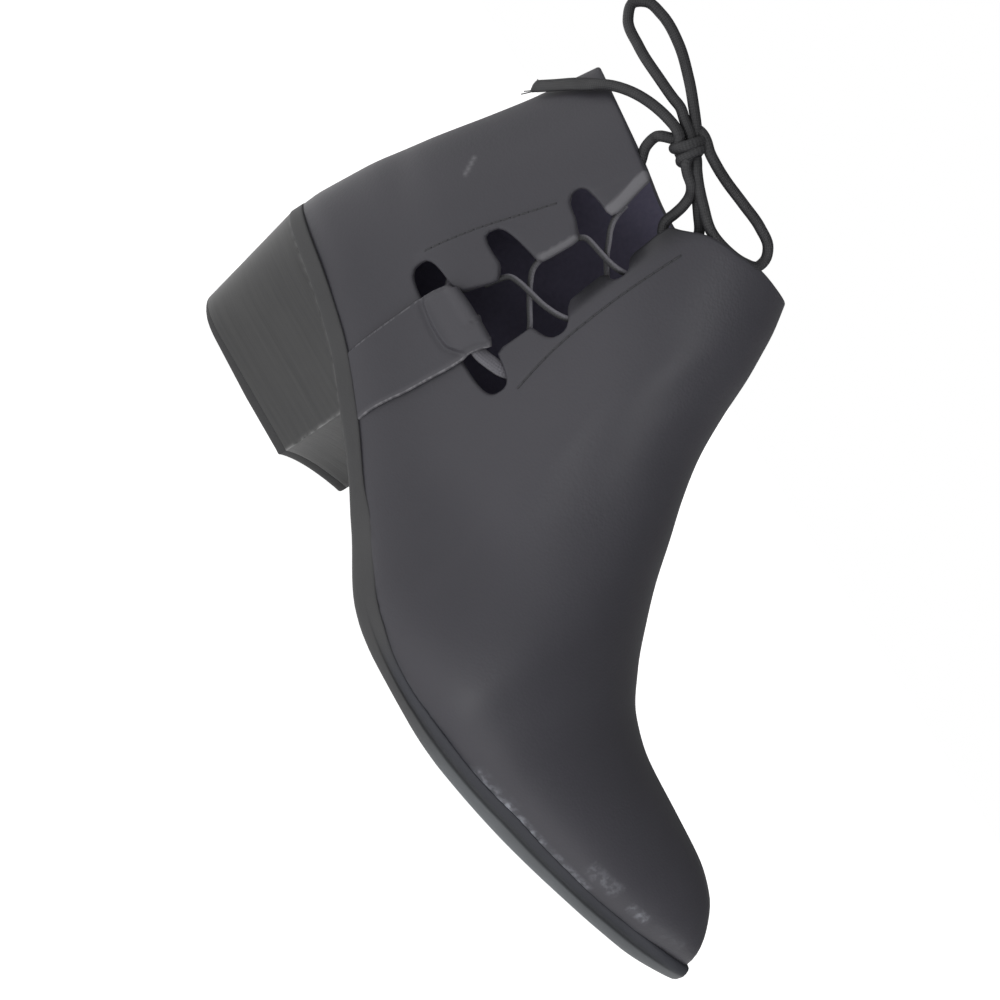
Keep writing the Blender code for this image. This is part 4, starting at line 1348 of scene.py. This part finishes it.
# points in the side view, and the depth of the cord's middle behind the upper's face
CROSSINGS = {
    "lace_cross_lower": (
        (
            (60.8, 80.5, 2.2),
            (61.6, 84.8, 2.1),
            (63.0, 88.3, 1.2),
            (66.2, 90.0, 0.4),
            (70.4, 91.2, 0.0),
            (76.2, 92.8, 0.5),
            (81.4, 95.4, 2.2),
            (84.2, 98.2, 4.4),
            (85.4, 102.5, 5.0),
        ),
        (
            (83.4, 78.0, 4.4),
            (81.6, 81.6, 4.2),
            (78.4, 85.3, 3.2),
            (71.9, 89.4, 2.6),
            (67.6, 92.4, 2.4),
            (64.9, 95.0, 1.9),
            (63.4, 98.8, 2.1),
            (62.4, 104.0, 2.3),
        ),
    ),
    "lace_cross_upper": (
        (
            (62.4, 105.0, 2.3),
            (63.8, 109.4, 2.1),
            (65.5, 112.7, 1.2),
            (69.3, 113.9, 0.3),
            (72.8, 114.5, 0.3),
            (77.0, 115.5, 1.6),
            (80.2, 117.2, 4.4),
            (82.2, 119.6, 6.6),
            (82.6, 123.0, 7.4),
        ),
        (
            (83.6, 104.0, 9.2),
            (81.6, 108.2, 8.8),
            (77.6, 112.0, 5.6),
            (72.6, 115.6, 2.6),
            (70.2, 117.8, 2.2),
            (67.4, 120.2, 1.8),
            (65.4, 122.8, 2.0),
            (63.8, 127.5, 2.3),
        ),
    ),
}
LOWER_RUN = (
    (50.0, 78.0, 9.0),
    (50.2, 73.4, 9.4),
    (53.4, 70.2, 7.4),
    (58.6, 69.0, 2.0),
    (67.0, 68.6, 0.9),
    (73.0, 68.6, 0.7),
    (77.6, 69.4, 0.4),
    (81.2, 70.7, 0.6),
    (84.6, 72.2, 1.8),
    (86.6, 74.2, 4.2),
    (87.6, 79.0, 5.0),
)

# Waxed cotton cord: a tight round braid, 16 strands a turn, dark grey with a dull wax, and a painted highlight on
# the lit side where it lies in the slots. The braid is drawn at 1.6 mm a stitch, about twice its real size, so that
# it shows.
cotton, shader, place = finish_named("waxed_cotton_cord", 0.55, 1.48, 0.35)
layout = node(cotton, "ShaderNodeUVMap", uv_map="along").outputs["UV"]
parts = node(cotton, "ShaderNodeSeparateXYZ", links={"Vector": layout}).outputs
turn = node(cotton, "ShaderNodeMath", {1: 8.0 * 2 * np.pi}, {0: parts["Y"]}, operation="MULTIPLY").outputs[0]
lay = node(cotton, "ShaderNodeMath", {1: 2 * np.pi / 0.0016}, {0: parts["X"]}, operation="MULTIPLY").outputs[0]
right = node(cotton, "ShaderNodeMath", links={0: turn, 1: lay}, operation="ADD").outputs[0]
left = node(cotton, "ShaderNodeMath", links={0: turn, 1: lay}, operation="SUBTRACT").outputs[0]
right = node(cotton, "ShaderNodeMath", links={0: right}, operation="SINE").outputs[0]
left = node(cotton, "ShaderNodeMath", links={0: left}, operation="SINE").outputs[0]
braid = node(cotton, "ShaderNodeMath", links={0: right, 1: left}, operation="MULTIPLY").outputs[0]
share = node(
    cotton, "ShaderNodeMapRange", {"From Min": -1.0, "From Max": 1.0}, {"Value": braid}
).outputs["Result"]
fuzz = node(cotton, "ShaderNodeTexNoise", {"Scale": 260.0, "Detail": 4.0}, {"Vector": place}).outputs["Fac"]
mixed = node(cotton, "ShaderNodeMath", links={0: share, 1: fuzz}, operation="MULTIPLY").outputs[0]
tone = node(
    cotton, "ShaderNodeMix", {6: linear("#212123"), 7: linear("#3F3F41")}, {0: mixed}, data_type="RGBA"
).outputs[2]
# painted highlight: the strands are paler on the side that faces the light
painted_highlight = node(cotton, "ShaderNodeAttribute", attribute_name="painted_highlight").outputs["Fac"]
tone = node(cotton, "ShaderNodeMix", {7: linear("#94929B")}, {0: painted_highlight, 6: tone}, data_type="RGBA").outputs[2]
cotton.node_tree.links.new(tone, shader.inputs["Base Color"])
bump = node(cotton, "ShaderNodeBump", {"Strength": 0.35, "Distance": 0.0003}, {"Height": share})
cotton.node_tree.links.new(bump.outputs["Normal"], shader.inputs["Normal"])


def in_slot(rows):
    """Route points of a strand given by its places in the side view and its depths."""
    rows = np.asarray(rows)
    return upper_point(OUTER, rows[:, 0], rows[:, 1], -rows[:, 2])


def strands_in_slot(name, routes, width, painted_highlight, lit_side, flat_run=0.0):
    """Lace strands as one piece, with a painted highlight on the side that faces one way."""
    tubes = [tube(smooth_route(in_slot(route), CORD_STEP), width / 2, flat_run) for route in routes]
    made = cord_piece(name, tubes, cotton)
    facing = np.array([normal.vector for normal in made.data.vertex_normals])
    store(made, "painted_highlight", painted_highlight * eased(facing @ np.array(lit_side) * HIGHLIGHT_SPREAD + HIGHLIGHT_START))
    return made


for name, routes in CROSSINGS.items():
    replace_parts(strands_in_slot(name + "_cord", routes, CROSSING_CORD, HIGHLIGHT_SHARE, (0.0, 0.0, 1.0)), name)
strands_in_slot("lace_lower_run", [LOWER_RUN], CORD, RUN_HIGHLIGHT_SHARE, (0.0, -0.8, 0.6), FLAT_RUN)


# Bow: the lace's two ends come up out of the top casings and tie in one knot above the collar. They lie out in two
# loops and two tails; the back tail is worn flat and frayed. The waxed cord is stiff enough to keep its bends.
KNOT = np.array((59.4, -36.8, 152.0))
# the knot's own directions, as one faces it: to the right, down and out
KNOT_RIGHT = np.array((0.505, 0.185, 0.843))
KNOT_DOWN = np.array((0.853, 0.037, -0.52))
KNOT_OUT = np.array((0.128, -0.982, 0.139))
# the way that the worn tail's flat side faces
FACING_OUT = (-0.5, -0.86, 0.1)
FLAT_TAIL = 30.0
# places of the loose threads on the tail's end: share of its width, sideways and outward drift, length
FRAY = (
    (-0.9, -1.1, 0.2, 4.2),
    (-0.75, -0.6, 0.5, 3.4),
    (-0.5, -0.2, -0.2, 1.6),
    (-0.1, 0.2, 0.3, 1.2),
    (0.35, 0.1, 0.0, 1.5),
    (0.8, 0.5, 0.3, 1.1),
)
FRAY_THREAD = 0.36
FRAY_ROOT = 0.6
FRAY_STEP = 0.3
FRAY_BEND = 0.15


def by_knot(rows):
    """Points given by their distance from the knot's middle to the right, down and out."""
    return [tuple(KNOT + right * KNOT_RIGHT + down * KNOT_DOWN + out * KNOT_OUT) for right, down, out in rows]


LACE_BACK = (
    (59.0, -33.2, 124.0),
    (57.6, -32.6, 131.0),
    (55.5, -34.0, 137.3),
    (52.6, -34.8, 141.0),
    (52.0, -36.0, 144.3),
    *by_knot(
        (
            (-8.2, -2.2, 0.2),
            (-5.7, -1.6, 0.4),
            (-3.2, -0.8, 0.6),
            (-1.0, 1.2, -0.6),
            (0.8, 2.6, 0.2),
            (0.6, 0.4, 1.6),
            (-0.2, -2.2, 1.8),
            (-1.7, -6.5, 0.9),
            (-2.9, -10.4, 0.2),
        )
    ),
    (46.0, -37.4, 154.7),
    (39.0, -36.6, 154.4),
    (26.5, -34.6, 154.4),
    (17.6, -33.4, 156.0),
    (14.2, -32.8, 159.6),
    (16.2, -32.4, 163.2),
    (21.5, -32.2, 164.8),
    (31.8, -32.4, 164.4),
    (42.0, -33.4, 161.6),
    *by_knot(
        (
            (0.9, -10.6, 0.2),
            (1.4, -6.5, 0.6),
            (1.8, -2.0, 0.8),
            (1.6, 1.4, -0.6),
            (0.0, 3.0, -2.0),
            (-2.4, 3.0, -1.2),
            (-3.4, 1.2, 1.6),
            (-3.3, -1.4, 2.9),
            (-4.3, -4.0, 2.2),
            (-6.4, -7.0, 0.9),
        )
    ),
    (40.1, -37.0, 147.3),
    (31.6, -32.8, 142.3),
    (26.4, -28.8, 137.2),
    (21.9, -24.6, 132.6),
    (17.6, -20.0, 127.6),
    (13.6, -15.6, 123.2),
)
LACE_FRONT = (
    (82.2, -30.8, 123.0),
    (79.0, -30.0, 129.5),
    (73.0, -30.0, 134.9),
    (72.8, -31.0, 138.1),
    (72.4, -32.0, 141.2),
    (71.3, -33.5, 144.3),
    *by_knot(
        (
            (0.2, 11.6, 0.4),
            (-1.0, 8.4, 1.2),
            (-1.4, 5.8, 2.2),
            (0.0, 3.2, 1.6),
            (2.0, 0.2, 0.2),
            (2.0, -1.6, -1.6),
            (-0.4, -0.6, -3.2),
            (-3.2, 0.8, -2.6),
            (-4.6, 1.2, -0.2),
            (-3.9, 1.6, 2.6),
            (-0.9, 1.2, 4.4),
            (2.0, 0.2, 3.7),
            (3.6, -0.4, 1.2),
            (2.6, 1.6, -1.8),
            (0.2, 4.2, -2.8),
            (-2.4, 5.0, -1.0),
            (-2.6, 4.4, 1.6),
            (-0.6, 3.4, 3.4),
            (1.9, 2.2, 3.6),
            (3.4, 1.4, 1.4),
            (2.8, -0.4, -1.4),
            (1.6, -2.6, -1.8),
            (2.0, -4.0, -0.8),
            (3.2, -2.8, 1.0),
            (4.3, -0.2, 2.5),
            (5.2, 2.8, 2.4),
            (7.0, 5.8, 1.0),
        )
    ),
    (72.5, -32.0, 155.2),
    (80.4, -28.0, 156.1),
    (88.2, -24.0, 156.8),
    (93.8, -21.5, 155.9),
    (96.2, -20.5, 153.6),
    (97.0, -21.3, 150.6),
    (94.5, -24.5, 147.6),
    (89.4, -28.0, 145.2),
    (83.0, -31.1, 144.2),
    (75.7, -34.0, 146.1),
    *by_knot(
        (
            (2.2, 11.0, 0.4),
            (1.7, 7.6, 1.2),
            (1.6, 4.4, 1.0),
            (0.8, 1.2, -0.4),
            (-0.8, -0.6, -2.0),
            (-2.0, 1.8, -3.0),
            (-1.0, 5.8, -2.4),
            (0.6, 9.4, -1.6),
        )
    ),
    (70.8, -32.0, 146.4),
    (76.3, -28.9, 143.7),
    (80.6, -26.9, 141.1),
    (82.4, -25.0, 131.0),
    (83.2, -24.5, 121.0),
    (82.8, -25.0, 111.0),
)
BOW = {
    "lace_bow_back": (LACE_BACK, FLAT_TAIL, ("lace_tie_back", "lace_knot", "lace_loop_back", "lace_end_back")),
    "lace_bow_front": (LACE_FRONT, 0.0, ("lace_tie_front", "lace_loop_front", "lace_end_front")),
}

for name, (route, flat_run, nodes) in BOW.items():
    path = smooth_route(route, CORD_STEP)
    made = cord_piece(name, [tube(path, CORD / 2, flat_run, FACING_OUT)], cotton)
    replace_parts(made, *nodes)
    if flat_run:
        end_way = (path[-1] - path[-3]) / np.linalg.norm(path[-1] - path[-3])
        across = np.cross(end_way, FACING_OUT)
        across /= np.linalg.norm(across)
        strands = []
        for share, sideways, outward, length in FRAY:
            root = path[-1] - FRAY_ROOT * end_way + across * share * CORD / 2 * (1 + FLAT_WIDER)
            way = end_way * length + across * sideways + np.array(FACING_OUT) * outward
            bent = root + way / 2 + FRAY_BEND * sideways * end_way
            strands.append(tube(smooth_route([root, bent, root + way], FRAY_STEP), FRAY_THREAD / 2))
        cord_piece(name + "_fray", strands, cotton)
    places = (path - MIDDLE) * MM
    float(run_along(places)[-1])


# Stage: a wide white floor, a large soft light on the camera's side, one from behind the heel, two weak and narrow
# ones on the toe's edge and the collar's front, and white all round. The camera has the photograph's angle and roll.
CAMERA = (184.4, -552.2, 125.9)
CAMERA_AIM = (112.7, 0.0, 47.9)
CAMERA_UP = (-0.8603, 0.0319, 0.5089)
LENS = 65.8
GROUND = 40000.0
# name, place, point aimed at, width, power, spread
LIGHTS = (
    ("key", (-100.0, -1100.0, 250.0), (120.0, 0.0, 60.0), 1200.0, 0.88, 3.1),
    ("back", (-700.0, -450.0, 420.0), (60.0, 0.0, 70.0), 700.0, 0.9, 3.1),
    ("low", (300.0, -480.0, 12.0), (206.0, 0.0, 14.0), 200.0, 0.045, 0.45),
    ("front", (480.0, -330.0, 330.0), (108.0, -15.0, 140.0), 120.0, 0.01, 0.3),
)
SOFT_SIDE = (-0.32, -0.93, 0.18)

bpy.ops.object.select_all(action="DESELECT")
bpy.ops.mesh.primitive_plane_add(size=GROUND * MM)
ground = bpy.context.object
ground.name = "ground"
ground.select_set(False)
paper, shader, place = finish_named("white_studio_paper", 0.9, 1.45, 0.1)
shader.inputs["Base Color"].default_value = linear("#F4F4F4")
shader.inputs["Emission Color"].default_value = linear("#FFFFFF")
shader.inputs["Emission Strength"].default_value = 1.0
ground.data.materials.append(paper)
ground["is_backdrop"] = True

for name, spot, aim, size, power, spread in LIGHTS:
    data = bpy.data.lights.new(name, "AREA")
    data.shape = "DISK"
    data.size = size * MM
    data.energy = power
    data.spread = spread
    lamp = bpy.data.objects.new(name, data)
    bpy.context.scene.collection.objects.link(lamp)
    lamp.location = (np.asarray(spot) - MIDDLE) * MM
    lamp.rotation_euler = Vector(np.subtract(aim, spot)).to_track_quat("-Z", "Y").to_euler()

world = bpy.data.worlds.new("white_room")
bpy.context.scene.world = world
world.use_nodes = True
backdrop = world.node_tree.nodes["Background"]
backdrop.inputs["Color"].default_value = (1.0, 1.0, 1.0, 1.0)
way = node(world, "ShaderNodeTexCoord").outputs["Generated"]
facing = node(
    world, "ShaderNodeVectorMath", {1: SOFT_SIDE}, {0: way}, operation="DOT_PRODUCT"
).outputs["Value"]
soft = node(
    world,
    "ShaderNodeMapRange",
    {"From Min": -0.4, "From Max": 1.0, "To Min": 0.11, "To Max": 0.61},
    {"Value": facing},
).outputs["Result"]
ray = node(world, "ShaderNodeLightPath").outputs["Is Camera Ray"]
strength = node(world, "ShaderNodeMix", {3: 1.0}, {0: ray, 2: soft}).outputs[0]
world.node_tree.links.new(strength, backdrop.inputs["Strength"])

data = bpy.data.cameras.new("camera")
data.sensor_width = 36.0
data.lens = LENS
data.clip_start = 0.01
camera = bpy.data.objects.new("camera", data)
bpy.context.scene.collection.objects.link(camera)
forward = Vector(np.subtract(CAMERA_AIM, CAMERA)).normalized()
right = forward.cross(Vector(CAMERA_UP)).normalized()
turned = Matrix((right, right.cross(forward), -forward)).transposed().to_4x4()
turned.translation = Vector((np.asarray(CAMERA) - MIDDLE) * MM)
camera.matrix_world = turned
bpy.context.scene.camera = camera
bpy.context.scene.view_settings.view_transform = "Standard"

bpy.context.view_layer.update()
for label, box in (("cad", cad_box), ("visual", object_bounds())):
    [[float(value) for value in corner] for corner in box]
